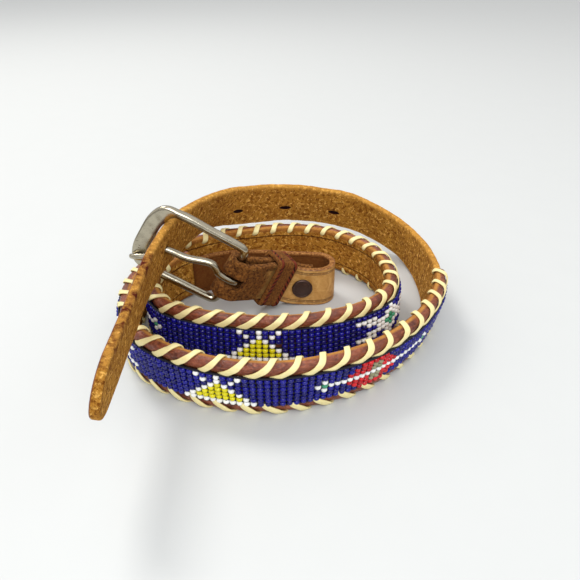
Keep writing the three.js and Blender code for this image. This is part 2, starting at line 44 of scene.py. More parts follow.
# Camera, worked out from the belt's own ovals and heights: its pitch above the floor, looking along +Y
SHIFT = np.array([0.391, 31.206, 0.007])
CAMERA_PLACE = np.array([0.887, -220.913, 140.5])
CAMERA_PITCH, FOCAL_PX, IMAGE_PX, SENSOR = 32, 569, 580, 36
camera_data = bpy.data.cameras.new("camera")
camera = bpy.data.objects.new("camera", camera_data)
bpy.context.scene.collection.objects.link(camera)
camera.location = tuple((CAMERA_PLACE + SHIFT) * MM)
camera.rotation_euler = (math.radians(90 - CAMERA_PITCH), 0, 0)
camera_data.sensor_width = SENSOR
camera_data.lens = SENSOR * FOCAL_PX / IMAGE_PX
camera_data.clip_start = 0.005
camera_data.clip_end = 20
bpy.context.scene.camera = camera

# Sizes in mm, as the solids have them
STRAP_W, STRAP_T, PANEL_T = 20.5, 2.8, 1.1
BEAD_H, BEAD_T, LACE_T, GAP = 13.4, 2.3, 0.7, 0.3
PANEL_FACE = STRAP_T / 2 + GAP
BEAD_FACE = PANEL_FACE + PANEL_T + GAP
LACE_OUT = PANEL_FACE + PANEL_T + GAP
RISE = LACE_T + GAP
BAR, CROSSING = 3.6, 0.5
STACK = STRAP_W + RISE + BAR + 2 * CROSSING
BILLET_W, BILLET_T = 18.0, 2.6
TURN_R, TURN_X, TURN_Y = 7.2, 12.5, -0.4
LEG, FLAP = 52.0, 33.0
SLOT_W, FOLD_SHARE = 5.0, 0.6
SPARE_START, HOLE_PITCH, SPARE_DROP = 64.4, 25.9, 2.1
KEEPER_L, KEEPER_WALL, KEEPER_SHARE, SNAP_SHARE = 10.5, 1.6, 0.52, 0.18
WRAP_PITCH, LOWER_BULGE = 8.5, 1.1
FRAME_L, FRAME_OPEN, TILT = 36.6, 23.7, math.radians(32)
RIM_W, RIM_T = 6.4, 2.8
PRONG = 3.0
PRONG_DEPTH = RIM_T / 2 + GAP + PRONG / 2
HEEL = np.array([-23.2, -22.5, 23.2])
OUTER_X, OUTER_Y, INNER_X, INNER_Y, TAIL_Y, INNER_BACK, TURN_GAP = 62.5, 78.0, 48.0, 38.5, 91.0, 11.0, 1.4
PITCH = STRAP_T / 2 + GAP + LACE_T + BEAD_FACE + BEAD_T + TURN_GAP
OUTER = (0.0, 0.0, OUTER_X, OUTER_Y)
INNER = (-OUTER_X + PITCH + INNER_X, -INNER_BACK, INNER_X, INNER_Y)
TAIL = (0.0, HEEL[1], OUTER_X, TAIL_Y)

T, O, I = TAIL, OUTER, INNER
STRAP_ROWS = [
    (T, -0.79, -1.0, 1, -0.22), (T, -0.792, -0.75, 1, -0.22), (T, -0.798, -0.5, 1, -0.22),
    (T, -0.8, -0.25, 1, -0.22), (T, -0.768, -0.02, 1, -0.22), (O, -0.72, -0.154, 1, -0.22),
    (O, -0.691, -0.074, 0.982, -0.26), (O, -0.654, 0.031, 0.955, -0.31), (O, -0.608, 0.137, 0.92, -0.36),
    (O, -0.547, 0.239, 0.885, -0.38), (O, -0.462, 0.349, 0.8, -0.33), (O, -0.355, 0.443, 0.69, -0.21),
    (O, -0.205, 0.514, 0.635, -0.19), (O, -0.03, 0.558, 0.605, -0.22), (O, 0.122, 0.583, 0.555, -0.23),
    (O, 0.27, 0.599, 0.49, -0.24), (O, 0.42, 0.606, 0.415, -0.22), (O, 0.598, 0.588, 0.285, -0.22),
    (O, 0.779, 0.506, 0.14, -0.19), (O, 0.912, 0.386, 0.02, -0.09), (O, 0.985, 0.12, 0, 0.05),
    (O, 0.978, -0.18, 0, 0.17), (O, 0.885, -0.4, 0, 0.24), (O, 0.705, -0.62, 0, 0.25),
    (O, 0.465, -0.797, 0, 0.22), (O, 0.2, -0.903, 0, 0.18), (O, -0.09, -0.953, 0, 0.15),
    (O, -0.38, -0.923, 0, 0.12), (O, -0.65, -0.835, 0, 0.09), (O, -0.87, -0.68, 0, 0.06),
    (O, -0.985, -0.46, 0, 0.02), (O, -1.0, -0.24, 0, 0), (O, -0.93, -0.04, 0, -0.03),
    (O, -0.79, 0.115, 0, -0.06), (I, -0.58, 0.8, 0, -0.1), (I, -0.26, 0.93, 0, -0.13),
    (I, 0.08, 1.01, 0, -0.15), (I, 0.42, 0.955, 0, -0.15), (I, 0.7, 0.74, 0, -0.14),
    (I, 0.91, 0.41, 0, -0.1), (I, 0.995, -0.04, 0, -0.05), (I, 0.94, -0.44, 0, -0.05),
    (I, 0.73, -0.74, 0, -0.08), (I, 0.42, -0.925, 0, -0.1), (I, 0.08, -1.01, 0, -0.1),
    (I, -0.26, -0.985, 0, -0.08), (I, -0.58, -0.885, 0, -0.05), (I, -0.85, -0.71, 0, -0.02),
    (I, -0.99, -0.42, 0, 0), (I, -0.985, -0.09, 0, 0), (I, -0.89, 0.15, 0, 0), (I, -0.79, 0.285, 0, 0),
]
LACED_ROW = 21


def catmull(points, t):
    """Uniform Catmull-Rom p(t) = c0 + c1 w + c2 w^2 + c3 w^3 through points, ends mirrored, t in 0..1."""
    points = np.asarray(points, float)
    n = len(points)
    p = np.clip(t, 0, 1) * (n - 1)
    i = np.minimum(np.floor(p).astype(int), n - 2)
    w = (p - i)[:, None]
    padded = np.vstack([2 * points[0] - points[1], points, 2 * points[-1] - points[-2]])
    a, b, c, d = padded[i], padded[i + 1], padded[i + 2], padded[i + 3]
    t0, t1 = (c - a) / 2, (d - b) / 2
    place = b + t0 * w + (3 * (c - b) - 2 * t0 - t1) * w**2 + (2 * (b - c) + t0 + t1) * w**3
    slope = t0 + 2 * (3 * (c - b) - 2 * t0 - t1) * w + 3 * (2 * (b - c) + t0 + t1) * w**2
    return place, slope


def unit(v):
    """v / |v| along the last axis."""
    return v / np.maximum(np.linalg.norm(v, axis=-1, keepdims=True), 1e-12)


class Way:
    """A way through points with a turning cross-section: place, along, wide and out at distances in mm."""

    def __init__(self, points, lean, tilt, count=9000):
        t = np.linspace(0, 1, count)
        place, slope = catmull(points, t)
        turning, _ = catmull(np.stack([lean, tilt], 1), t)
        self.t = t
        self.s = np.concatenate([[0], np.cumsum(np.linalg.norm(np.diff(place, axis=0), axis=1))])
        self.length = self.s[-1]
        self.data = np.hstack([place, unit(slope), turning])

    def at(self, s):
        """Place, along, wide and out at s: wide turned by lean and tilt, out = wide x along."""
        s = np.asarray(s, float)
        d = np.stack([np.interp(s, self.s, self.data[:, k]) for k in range(8)], -1)
        place, along, lean, tilt = d[..., :3], unit(d[..., 3:6]), d[..., 6:7], d[..., 7:8]
        side = np.stack([-along[..., 1], along[..., 0], 0 * along[..., 0]], -1)
        side = unit(side)
        wide = np.concatenate([np.sin(tilt), 0 * tilt, np.cos(tilt)], -1)
        wide = wide * np.cos(lean) + side * np.sin(lean)
        wide = unit(wide - along * (wide * along).sum(-1, keepdims=True))
        return place, along, wide, np.cross(wide, along)

    def point(self, s, a, w):
        """p = place(s) + a out(s) + w wide(s), for arrays of one shape, in mm."""
        s, a, w = np.broadcast_arrays(np.asarray(s, float), a, w)
        place, _, wide, out = self.at(s)
        return place + out * a[..., None] + wide * w[..., None]


def strap_points():
    """Rows of shares made places: z = lift stack + drop + half the width times the cosine of the lean."""
    rows = []
    for k, (turn, x, y, lift, lean) in enumerate(STRAP_ROWS):
        upright = math.sqrt(1 - lean * lean)
        corner = LACE_OUT if lean > 0 else STRAP_T / 2 + GAP
        drop = RISE * upright + corner * abs(lean) if k >= LACED_ROW else RISE
        z = lift * STACK + drop + STRAP_W / 2 * upright
        rows.append((turn[0] + x * turn[2], turn[1] + y * turn[3], z))
    return np.array(rows)


leans = np.arcsin([r[4] for r in STRAP_ROWS])
strap = Way(strap_points(), leans, 0 * leans)
LACED = float(np.interp(LACED_ROW / (len(STRAP_ROWS) - 1), strap.t, strap.s))
END = strap.length - GAP

U = np.array([-math.cos(TILT), 0, math.sin(TILT)])
V = np.array([-math.sin(TILT), 0, -math.cos(TILT)])
D = np.array([0.0, -1.0, 0.0])


def in_frame(u, v, d):
    """Point of the buckle's own axes: u to the rim, v down the bar, d towards the viewer, in mm."""
    u, v, d = (np.asarray(k, float)[..., None] for k in (u, v, d))
    return HEEL + u * U + v * V + d * D


OUTER_LEG = [(0.08, 0, 0, 0), (0.25, 0.03, 0.06, 0.1), (0.45, 0.16, 0.3, 0.45), (0.6, 0.4, 0.52, 0.7),
             (0.73, 0.74, 0.73, 0.86), (0.88, 0.98, 0.9, 0.97), (1.0, 1.0, 1.0, 1.0)]
FOLD_R = BAR / 2 + GAP + BILLET_T / 2
FLAP_GAP = BILLET_T + GAP


def billet_way():
    """Inner leg, half circle for the round turn, outer leg, half circle round the heel bar, flap."""
    place, along, _, _ = strap.at(np.array([strap.length]))
    start = place[0] + along[0] * 3 * GAP
    low, rows = BILLET_W / 2, []
    rows.append((start[0], start[1], low, 0))
    for share, bow in [(0.86, 0.02), (0.66, 0.3), (0.44, 0.3), (0.22, 0.12)]:
        rows.append((TURN_X - share * LEG, TURN_Y + TURN_R * (1 + bow), low, 0))
    for turned in (90, 55, 15, -25, -60, -90):
        a = math.radians(turned)
        rows.append((TURN_X + TURN_R * math.cos(a), TURN_Y + TURN_R * math.sin(a), low, 0))
    leg_y, run = TURN_Y - TURN_R, TURN_X - HEEL[0]
    for share, drop, lift, tilt in OUTER_LEG:
        y = leg_y + drop * (HEEL[1] - FOLD_R - leg_y)
        rows.append((TURN_X - share * run, y, low + lift * (HEEL[2] - low), tilt * TILT))
    for turned in (-60, 0, 60):
        a = math.radians(turned)
        p = in_frame(FOLD_R * math.cos(a), 0, -FOLD_R * math.sin(a))
        rows.append((p[0], p[1], p[2], TILT))
    for share, drop, lift, tilt in OUTER_LEG[::-1]:
        if (1 - share) * run > FLAP:
            continue
        y = leg_y + drop * (HEEL[1] + FOLD_R - leg_y) + FLAP_GAP * (1 - drop)
        rows.append((TURN_X - share * run, y, low + lift * (HEEL[2] - low), tilt * TILT))
    rows = np.array(rows)
    return Way(rows[:, :3], 0 * rows[:, 3], rows[:, 3])


billet = billet_way()


def on_outer_leg(share):
    """Distance along the billet at a share of its outer leg's run."""
    x = TURN_X - share * (TURN_X - HEEL[0])
    s = np.arange(0, billet.length, 0.1)
    place = billet.at(s)[0]
    turned = s[np.argmax(place[:, 0] >= TURN_X)] + TURN_R
    ok = (s >= turned) & (place[:, 1] < TURN_Y) & (place[:, 0] <= x)
    return float(s[np.argmax(ok)])


FOLD_S = on_outer_leg(FOLD_SHARE)


# Mesh making
def solid(name, points, quads, smooth=True, attrs=None, ends=None):
    """One mesh from arrays: points in mm in the route's frame, quads and ends as rows of indices."""
    mesh = bpy.data.meshes.new(name)
    verts = (np.asarray(points, float).reshape(-1, 3) + SHIFT) * MM
    mesh.from_pydata(verts.tolist(), [], np.asarray(quads, np.int32).tolist() + (ends or []))
    for key, values in (attrs or {}).items():
        layer = mesh.attributes.new(key, "FLOAT", "POINT")
        layer.data.foreach_set("value", np.asarray(values, np.float32).ravel())
    if smooth:
        mesh.polygons.foreach_set("use_smooth", np.ones(len(mesh.polygons), bool))
    mesh.update()
    obj = bpy.data.objects.new(name, mesh)
    bpy.context.scene.collection.objects.link(obj)
    return obj


def grid_quads(rows, cols, close_rows=False):
    """Quads (r, c), (r, c + 1), (r + 1, c + 1), (r + 1, c) of a grid whose columns close on themselves."""
    rr, cc = np.meshgrid(np.arange(rows if close_rows else rows - 1), np.arange(cols), indexing="ij")
    r2, c2 = (rr + 1) % rows, (cc + 1) % cols
    return np.stack([rr * cols + cc, rr * cols + c2, r2 * cols + c2, r2 * cols + cc], -1).reshape(-1, 4)


def volume_sign(points, quads):
    """Sign of the sum of a . (b x c) + a . (c x d) over the quads: positive where they point outwards."""
    p = np.asarray(points, float).reshape(-1, 3)
    a, b, c, d = (p[quads[:, k]] for k in range(4))
    return np.sign((a * np.cross(b, c)).sum() + (a * np.cross(c, d)).sum())


def tubes(name, rings, closed=False, attrs=None):
    """Equal bodies in one mesh, from an array (bodies, rings, sides, 3), with flat ends unless they close."""
    count, n, m = rings.shape[:3]
    block = grid_quads(n, m, close_rows=closed)
    caps = np.array([np.arange(m)[::-1], np.arange(n * m - m, n * m)])
    if volume_sign(rings[0], block) < 0:
        block, caps = block[:, ::-1], caps[:, ::-1]
    offsets = (np.arange(count) * n * m)[:, None, None]
    ends = None if closed else (caps + offsets).reshape(-1, m).tolist()
    return solid(name, rings, (block + offsets).reshape(-1, 4), attrs=attrs, ends=ends)


def tube(name, rings, closed=False, attrs=None):
    """One body through rings of points, an array (rings, sides, 3)."""
    return tubes(name, rings[None], closed, attrs)


def rounded_bar(thickness, width, outer, inner, per=5):
    """Outline of a strap's section, (a, w): quarter circles r(1-cos), r(1-sin) of radius outer or inner."""
    t, h = thickness / 2, width / 2
    q = np.linspace(0, np.pi / 2, per)
    parts = []
    for (sx, sy, r) in ((1, -1, outer), (1, 1, outer), (-1, 1, inner), (-1, -1, inner)):
        a = sx * (t - r + r * np.sin(q))
        w = sy * (h - r + r * np.cos(q))
        if sx * sy > 0:
            a, w = a[::-1], w[::-1]
        parts.append(np.stack([a, w], 1))
        if sy * sx < 0:
            flat = np.linspace(-1, 1, 9)[1:-1] * (h - r) * (1 if sx > 0 else -1)
            parts.append(np.stack([np.full(7, sx * t), flat], 1))
    return np.vstack(parts)


def power(v, e):
    """sign(v) |v|^e."""
    return np.sign(v) * np.abs(v) ** e


def follow(way, stations, section):
    """rings[i, j] = way.point(s_i, a_j, w_j); attributes along, out and width are s, a and w."""
    s = np.repeat(stations[:, None], section.shape[-2], 1)
    a = np.broadcast_to(section[..., 0], s.shape)
    w = np.broadcast_to(section[..., 1], s.shape)
    return way.point(s, a, w), {"along": s, "outward": a, "across": w}


# Pieces
def hole_place():
    """Distance along the strap at which it meets the prong's plane."""
    way = np.arange(0, 150, 0.1)
    return float(way[np.argmax(strap.at(way)[0][:, 1] >= HEEL[1] - PRONG_DEPTH)])


PRONG_HOLE = hole_place()
SLIT = PRONG_HOLE + SPARE_START


def make_strap():
    """Section swept along the way; at the free end its width is sqrt(1 - (1 - s / tip)^2) of the whole."""
    tip = 12.0
    near = tip * (1 - np.cos(np.linspace(0.12, np.pi / 2, 12)))
    s = np.concatenate([near, np.arange(tip + 1.5, strap.length, 1.6), [strap.length]])
    base = rounded_bar(STRAP_T, STRAP_W, 0.6, 0.9)
    back = np.clip(1 - s / tip, 0, 1)
    share = np.sqrt(1 - back**2)
    section = np.repeat(base[None], len(s), 0).copy()
    section[..., 1] *= share[:, None]
    wave = 0.14 * np.sin(s * 0.31) + 0.12 * np.sin(s * 0.117 + 1.0) + 0.1 * np.sin(s * 0.93)
    wave = wave + rng.normal(0, 0.05, len(s))
    section[..., 1] += (wave * (s < LACED) * (share > 0.99))[:, None] * np.sign(section[..., 1]) * 0.6
    rings, attrs = follow(strap, s, section)
    obj = tube("strap_leather", rings, attrs=attrs)
    cut(obj, slit_cutter("prong_slit", PRONG_HOLE, 0, 6, PRONG + 2.2))
    for k in range(3):
        cut(obj, slit_cutter("slit", SLIT + HOLE_PITCH * k, -SPARE_DROP, 4.6, 0.55))
    relabel(obj, strap)
    return obj


def slit_cutter(name, at, lower, length, height):
    """Prism through the strap: x = power(cos q, 0.7) length / 2, y = power(sin q, 0.9) height / 2."""
    place, along, wide, out = (k[0] for k in strap.at(np.array([at])))
    turn = np.linspace(0, 2 * np.pi, 22, endpoint=False)
    x = power(np.cos(turn), 0.7) * length / 2
    y = power(np.sin(turn), 0.9) * height / 2 + 0.12 * np.sin(3 * turn)
    ring = place + along * x[:, None] + wide * (y + lower)[:, None]
    return tube(name, np.stack([ring - 4 * out, ring + 4 * out]))


def make_panel():
    """The reddish leather: its two borders roll over the edge, fuller between the wraps of lace."""
    s = np.arange(LACED + 0.2, END, 0.85)
    out, top = PANEL_FACE + PANEL_T, STRAP_W / 2
    half = np.array([
        (-0.75, -top), (-0.75, 4.0 - top), (-0.75, -3.85), (-0.5, -3.75), (-0.12, -3.5), (0.2, -3.1),
        (0.4, -2.5), (0.48, -1.8), (0.42, -1.1), (0.25, -0.5), (-0.1, 0.0), (-0.65, 0.36), (-1.4, 0.5),
        (-2.3, 0.5), (-3.1, 0.34), (-3.6, 0.12), (-3.8, -0.15), (-3.3, -0.5), (-1.4, -0.6), (-1.2, -1.4),
    ]) + [out, top]
    profile = np.vstack([half, half[::-1] * [1, -1]])[1:]
    section = np.repeat(profile[None], len(s), 0).copy()
    for sign in (-1, 1):
        w = sign * profile[:, 1]
        slant = np.interp(w, [top - 3.6, top - 1.8, top], [4.6, 2.2, 0.4])
        phase = 2 * np.pi * (s[:, None] - slant[None] - wrap_offset(sign)) / WRAP_PITCH
        puff = 0.3 * (0.5 - 0.5 * np.cos(phase)) - 0.18
        border = (w > top - 3.6) & (profile[:, 0] > out - 0.2)
        crest = (w > top + 0.2)
        section[..., 0] += puff * border
        if sign < 0:
            section[..., 0] += LOWER_BULGE * smoothstep(w, top - 3.7, top - 2.6) * (profile[:, 0] > out - 0.9)
        section[..., 1] += sign * 0.7 * puff * crest
    rings, attrs = follow(strap, s, section)
    return tube("border_leather", rings, attrs=attrs)


# One wrap, from its foot outside to its hole inside: out from the lace's face, up from the edge, along.
WRAP_PATH = np.array([
    (-0.75, -4.1, 7.6), (-0.15, -3.95, 7.0), (0.35, -3.4, 6.0), (0.62, -2.7, 4.9), (0.7, -1.8, 3.7),
    (0.62, -0.9, 2.6), (0.3, -0.1, 1.6), (-0.35, 0.5, 0.8), (-1.3, 0.78, 0.2), (-2.5, 0.82, -0.3),
    (-3.6, 0.7, -0.7), (-4.5, 0.3, -1.1), (-5.0, -0.3, -1.4), (-5.05, -1.0, -1.9), (-4.8, -1.7, -2.3),
    (-4.1, -2.3, -2.7),
])


def wrap_offset(sign):
    """Station of the first wrap on the top edge (sign 1) or the bottom edge (sign -1)."""
    return LACED + 3.0 + (0 if sign > 0 else 3.4)


def make_wraps(sign, name):
    """One flat lace per wrap: p(q) runs from the border's foot outside, over the edge, to a hole inside."""
    top = STRAP_W / 2
    path = WRAP_PATH + [LACE_OUT, top, 0]
    count = int((END - LACED - 4) / WRAP_PITCH)
    q = np.linspace(0, 1, 33)
    dense, _ = catmull(path, q)
    if sign < 0:
        dense[:, 0] += LOWER_BULGE * smoothstep(dense[:, 0], LACE_OUT - 1.6, LACE_OUT)
    base = wrap_offset(sign) + WRAP_PITCH * np.arange(count) + rng.uniform(-0.25, 0.25, count)
    base = base[base < END - 2]
    skew = rng.uniform(0.85, 1.15, len(base))
    s = base[:, None] + dense[None, :, 2] * skew[:, None]
    s = np.clip(s, LACED + 0.1, END - 0.1)
    a = np.broadcast_to(dense[None, :, 0], s.shape)
    w = sign * np.broadcast_to(dense[None, :, 1], s.shape)
    centre = strap.point(s, a, w)
    along = unit(np.gradient(centre, axis=1))
    inside = strap.point(s, np.clip(a, -0.6, 1.9), np.clip(w, -top + 1.3, top - 1.3))
    normal = unit(centre - inside)
    across = unit(np.cross(along, normal))
    normal = np.cross(across, along)
    taper = 1 - 0.55 * smoothstep(q, 0.16, -0.02) - 0.6 * smoothstep(q, 0.8, 1.02)
    half_w = 1.16 * (1 + rng.uniform(-0.07, 0.07, len(base)))[:, None] * taper[None]
    turn = np.linspace(0, 2 * np.pi, 12, endpoint=False)
    x, y = power(np.cos(turn), 0.45), 0.3 * power(np.sin(turn), 0.7)
    rings = centre[:, :, None] + across[:, :, None] * (half_w[..., None] * x)[..., None]
    rings = rings + normal[:, :, None] * (y + 0.04 * (1 - x**2))[None, None, :, None]
    tone = np.repeat(rng.uniform(0, 1, len(base)), len(q) * len(turn))
    u = np.broadcast_to(q[None, :, None], rings.shape[:3])
    v = np.broadcast_to(x[None, None], rings.shape[:3])
    return tubes(name, rings, attrs={"tone": tone, "outward": u, "across": v})


# Bead chart: rows from the top edge down, columns as they follow one another along the strap.
TRIANGLE = [
    "..W..W..W..",
    "...W.W.W...",
    "....WYW....",
    "...WYYYW...",
    "..WYYYYYW..",
    ".WYYYYYYYW.",
    "WWWWWWWWWWW",
]
COLUMNS = 215
MARKS = {"B": "navy", "W": "white", "Y": "yellow", "R": "red", "G": "green", "O": "olive"}
BEAD_PITCH = (END - LACED) / COLUMNS


def stamp(chart, motif, centre):
    """Writes a motif's marks into the chart about a column."""
    start = centre - len(motif[0]) // 2
    for r, row in enumerate(motif):
        for c, mark in enumerate(row):
            if mark != "." and 0 <= start + c < COLUMNS:
                chart[r][start + c] = mark


# A crossed head with its bars, standing alone.
STAR = [
    ".......W.......",
    "WWWW..WWW..WWWW",
    "..WWWWWGWWWWW..",
    "....WWGGGWW....",
    "..WWWWWGWWWWW..",
    "WWWW..WWW..WWWW",
    ".......W.......",
]
# A shaft that ends in a lozenge at one side.
ARROW = [
    "..........RRRR..........",
    "........RRRRORR.........",
    ".W.....RRRROORRR....W...",
    "WGWWWWWWWWWWWWWWWWWWWWGW",
    ".W.....RRRROORRR....W...",
    "........RRRRORR.........",
    "..........RRRR..........",
]


# The same with a broader lozenge, nearer to one of its heads.
SPEAR = [
    ".......RRRRR...........",
    "......RRROORR..........",
    ".W...RRRROORRR.......W.",
    "WGWWWWWWWWWWWWWWWWWWWGW",
    ".W...RRRROORRR.......W.",
    "......RRROORR..........",
    ".......RRRRR...........",
]


def bead_chart():
    """Marks by row and column; charts read from the front are turned, as columns run along the strap."""
    chart = [["B"] * COLUMNS for _ in range(7)]
    turned = {id(m): [row[::-1] for row in m] for m in (TRIANGLE, ARROW, SPEAR)}
    for centre in (49, 93, 136, 179):
        stamp(chart, turned[id(TRIANGLE)], centre)
    for centre in (71, 156):
        stamp(chart, STAR, centre)
    stamp(chart, turned[id(SPEAR)], 24)
    stamp(chart, turned[id(ARROW)], 115)
    stamp(chart, ARROW, 208)
    chart[3][176] = "-"
    return chart


def make_beads():
    """Rings r = 0.34 + 0.66 cos q, h = sin q turned about the weave's cross threads, one for each mark."""
    chart = bead_chart()
    marks = np.array(chart)
    rows, cols = np.meshgrid(np.arange(7), np.arange(COLUMNS), indexing="ij")
    s = LACED + (cols + 0.5) * BEAD_PITCH
    pitch = BEAD_H / 7
    w = BEAD_H / 2 - (rows + 0.5) * pitch
    a = np.full(s.shape, BEAD_FACE + 0.85)
    s = s + rng.normal(0, 0.06, s.shape)
    w = w + rng.normal(0, 0.04, s.shape)
    a = a + rng.normal(0, 0.07, s.shape)
    place, along, wide, out = strap.at(s)
    centre = place + out * a[..., None] + wide * w[..., None]
    radius = 1.17 * (1 + rng.normal(0, 0.025, s.shape))
    half = pitch / 2 * 0.98 * (1 + rng.normal(0, 0.03, s.shape))
    lean = rng.normal(0, 0.05, s.shape + (2,))
    axis = unit(wide + along * lean[..., :1] + out * lean[..., 1:])
    first = unit(along - axis * (along * axis).sum(-1, keepdims=True))
    second = np.cross(axis, first)
    turn = np.linspace(0, 2 * np.pi, 10, endpoint=False)
    ring = 2 * np.pi * np.array([-0.22, -0.15, -0.08, 0.0, 0.08, 0.15, 0.22, 0.5])
    r, h = np.maximum(0.34 + 0.66 * np.cos(ring), 0.22), np.sin(ring)
    objects = {}
    for mark, name in MARKS.items():
        pick = marks == mark
        if not pick.any():
            continue
        c, f, g, ax = centre[pick], first[pick], second[pick], axis[pick]
        rad, hh = radius[pick], half[pick]
        radial = f[:, None] * np.cos(turn)[None, :, None] + g[:, None] * np.sin(turn)[None, :, None]
        pts = c[:, None, None] + radial[:, :, None] * (rad[:, None, None] * r)[..., None]
        pts = pts + ax[:, None, None] * (hh[:, None, None] * h)[..., None]
        tone = np.repeat(rng.uniform(0, 1, len(c)), len(turn) * len(ring))
        objects[name] = tubes("beads_" + name, pts, closed=True, attrs={"tone": tone})
    return objects


def make_threads():
    """Warp threads of the weave, oval cords at w = k pitch, a = face + 0.75: real threads, made near black so
    that they also paint the shade in the gaps between the beads.
    """
    s = np.arange(LACED + 0.3, END - 0.2, 1.6)
    turn = np.linspace(0, 2 * np.pi, 6, endpoint=False)
    sections = [np.stack([BEAD_FACE + 0.75 + 0.55 * np.cos(turn), w + 0.2 * np.sin(turn)], 1)
                for w in BEAD_H / 2 - np.arange(8) * BEAD_H / 7]
    return tubes("bead_threads_gap_shade", np.stack([follow(strap, s, section)[0] for section in sections]))


def bend_stations(way, step, fine):
    """Stations from 0 to the end, spaced fine / curvature where the way bends, and never over step."""
    s = np.linspace(0, way.length, 4000)
    _, along, _, _ = way.at(s)
    bend = np.linalg.norm(np.gradient(along, axis=0), axis=1) / (s[1] - s[0])
    density = np.maximum(1 / step, bend / fine)
    total = np.concatenate([[0], np.cumsum((density[1:] + density[:-1]) / 2 * np.diff(s))])
    return np.interp(np.linspace(0, total[-1], int(total[-1]) + 2), total, s)


def make_billet():
    """Rounded bar swept along the billet's way, with the prong's slot cut out of the fold."""
    s = bend_stations(billet, 1.5, math.radians(7))
    rings, attrs = follow(billet, s, rounded_bar(BILLET_T, BILLET_W, 0.45, 0.6))
    obj = tube("billet_leather", rings, attrs=attrs)
    slot = box_cutter("slot_cutter", in_frame(2.5, 0, 0), U, V, np.cross(U, V), (15, SLOT_W, 15))
    cut(obj, slot)
    relabel(obj, billet)
    return obj


def box_cutter(name, centre, x, y, z, size):
    """Box of corners centre + (+-x size / 2, +-y size / 2, +-z size / 2)."""
    corners = np.array([(i, j, k) for i in (-0.5, 0.5) for j in (-0.5, 0.5) for k in (-0.5, 0.5)]) * size
    pts = centre + corners[:, :1] * x + corners[:, 1:2] * y + corners[:, 2:] * z
    quads = np.array([(0, 1, 3, 2), (4, 6, 7, 5), (0, 4, 5, 1), (2, 3, 7, 6), (0, 2, 6, 4), (1, 5, 7, 3)])
    if volume_sign(pts, quads) < 0:
        quads = quads[:, ::-1]
    return solid(name, pts, quads, smooth=False)


def cut(obj, cutter):
    """Takes cutter out of obj and removes the cutter."""
    modifier = obj.modifiers.new("cut", "BOOLEAN")
    modifier.operation = "DIFFERENCE"
    modifier.solver = "EXACT"
    modifier.object = cutter
    graph = bpy.context.evaluated_depsgraph_get()
    graph.update()
    mesh = bpy.data.meshes.new_from_object(obj.evaluated_get(graph))
    obj.modifiers.clear()
    obj.data = mesh
    bpy.data.objects.remove(cutter)


def relabel(obj, way):
    """Gives the corners that a cut has made their s, a and w, from the nearest point of the way."""
    mesh = obj.data
    points, along = np.empty(len(mesh.vertices) * 3), np.empty(len(mesh.vertices))
    mesh.vertices.foreach_get("co", points)
    mesh.attributes["along"].data.foreach_get("value", along)
    new = np.flatnonzero(along < 0.001)
    points = points.reshape(-1, 3)[new] / MM - SHIFT
    s = way.s[((points[:, None] - way.data[None, :, :3]) ** 2).sum(-1).argmin(1)]
    place, _, wide, out = way.at(s)
    off = points - place
    fresh = {"along": s, "outward": (off * out).sum(-1), "across": (off * wide).sum(-1)}
    for key, values in fresh.items():
        whole = np.empty(len(mesh.vertices))
        mesh.attributes[key].data.foreach_get("value", whole)
        whole[new] = values
        mesh.attributes[key].data.foreach_set("value", whole)


def bar_rings(line, first, a, second, b, squareness, sides=20):
    """ring = line + first a cos^e + second b sin^e, e = 1 - squareness / 2."""
    turn = 2 * np.pi * (np.arange(sides) + 0.5) / sides
    e = (1 - np.asarray(squareness, float) / 2)[:, None]
    x, y = power(np.cos(turn)[None], e), power(np.sin(turn)[None], e)
    return line[:, None] + first[:, None] * (np.asarray(a)[:, None] * x)[..., None] \
        + second[:, None] * (np.asarray(b)[:, None] * y)[..., None]


FRAME_HALF = [(0, 0.35), (0, 0.72), (0.025, 0.94), (0.12, 1), (0.42, 1), (0.76, 1), (0.92, 0.87), (0.99, 0.5)]


def smoothstep(x, lo, hi):
    """t^2 (3 - 2 t) for t from 0 at lo to 1 at hi."""
    t = np.clip((np.asarray(x) - lo) / (hi - lo), 0, 1)
    return t * t * (3 - 2 * t)


def make_frame():
    """Closed Catmull-Rom line; rim share grows with u, and the bar becomes a wide flat section there."""
    corners = FRAME_HALF + [(1, 0)] + [(u, -v) for u, v in FRAME_HALF[::-1]]
    pts = in_frame(np.array([c[0] for c in corners]) * FRAME_L,
                   np.array([c[1] for c in corners]) * (FRAME_OPEN + BAR) / 2, 0)
    n = len(pts)
    wrapped = np.vstack([pts[-2:], pts, pts[:3]])
    t = (2 + np.linspace(0, n, 1200, endpoint=False)) / (len(wrapped) - 1)
    line, slope = catmull(wrapped, t)
    length = np.concatenate([[0], np.cumsum(np.linalg.norm(np.diff(line, axis=0), axis=1))])
    pick = np.linspace(0, length[-1], 150, endpoint=False)
    line = np.stack([np.interp(pick, length, line[:, k]) for k in range(3)], 1)
    slope = unit(np.stack([np.interp(pick, length, slope[:, k]) for k in range(3)], 1))
    across = unit(np.cross(slope, D))
    share = (line - HEEL) @ U / FRAME_L
    rim = smoothstep(share, 0.81, 0.98)
    half, deep = BAR / 2 + rim * (RIM_W - BAR) / 2, BAR / 2 + rim * (RIM_T - BAR) / 2
    rings = bar_rings(line, across, half, np.broadcast_to(D, line.shape), deep, rim, 24)
    return tube("buckle_ring", rings, closed=True, attrs={"rim": np.repeat(rim, 24)})


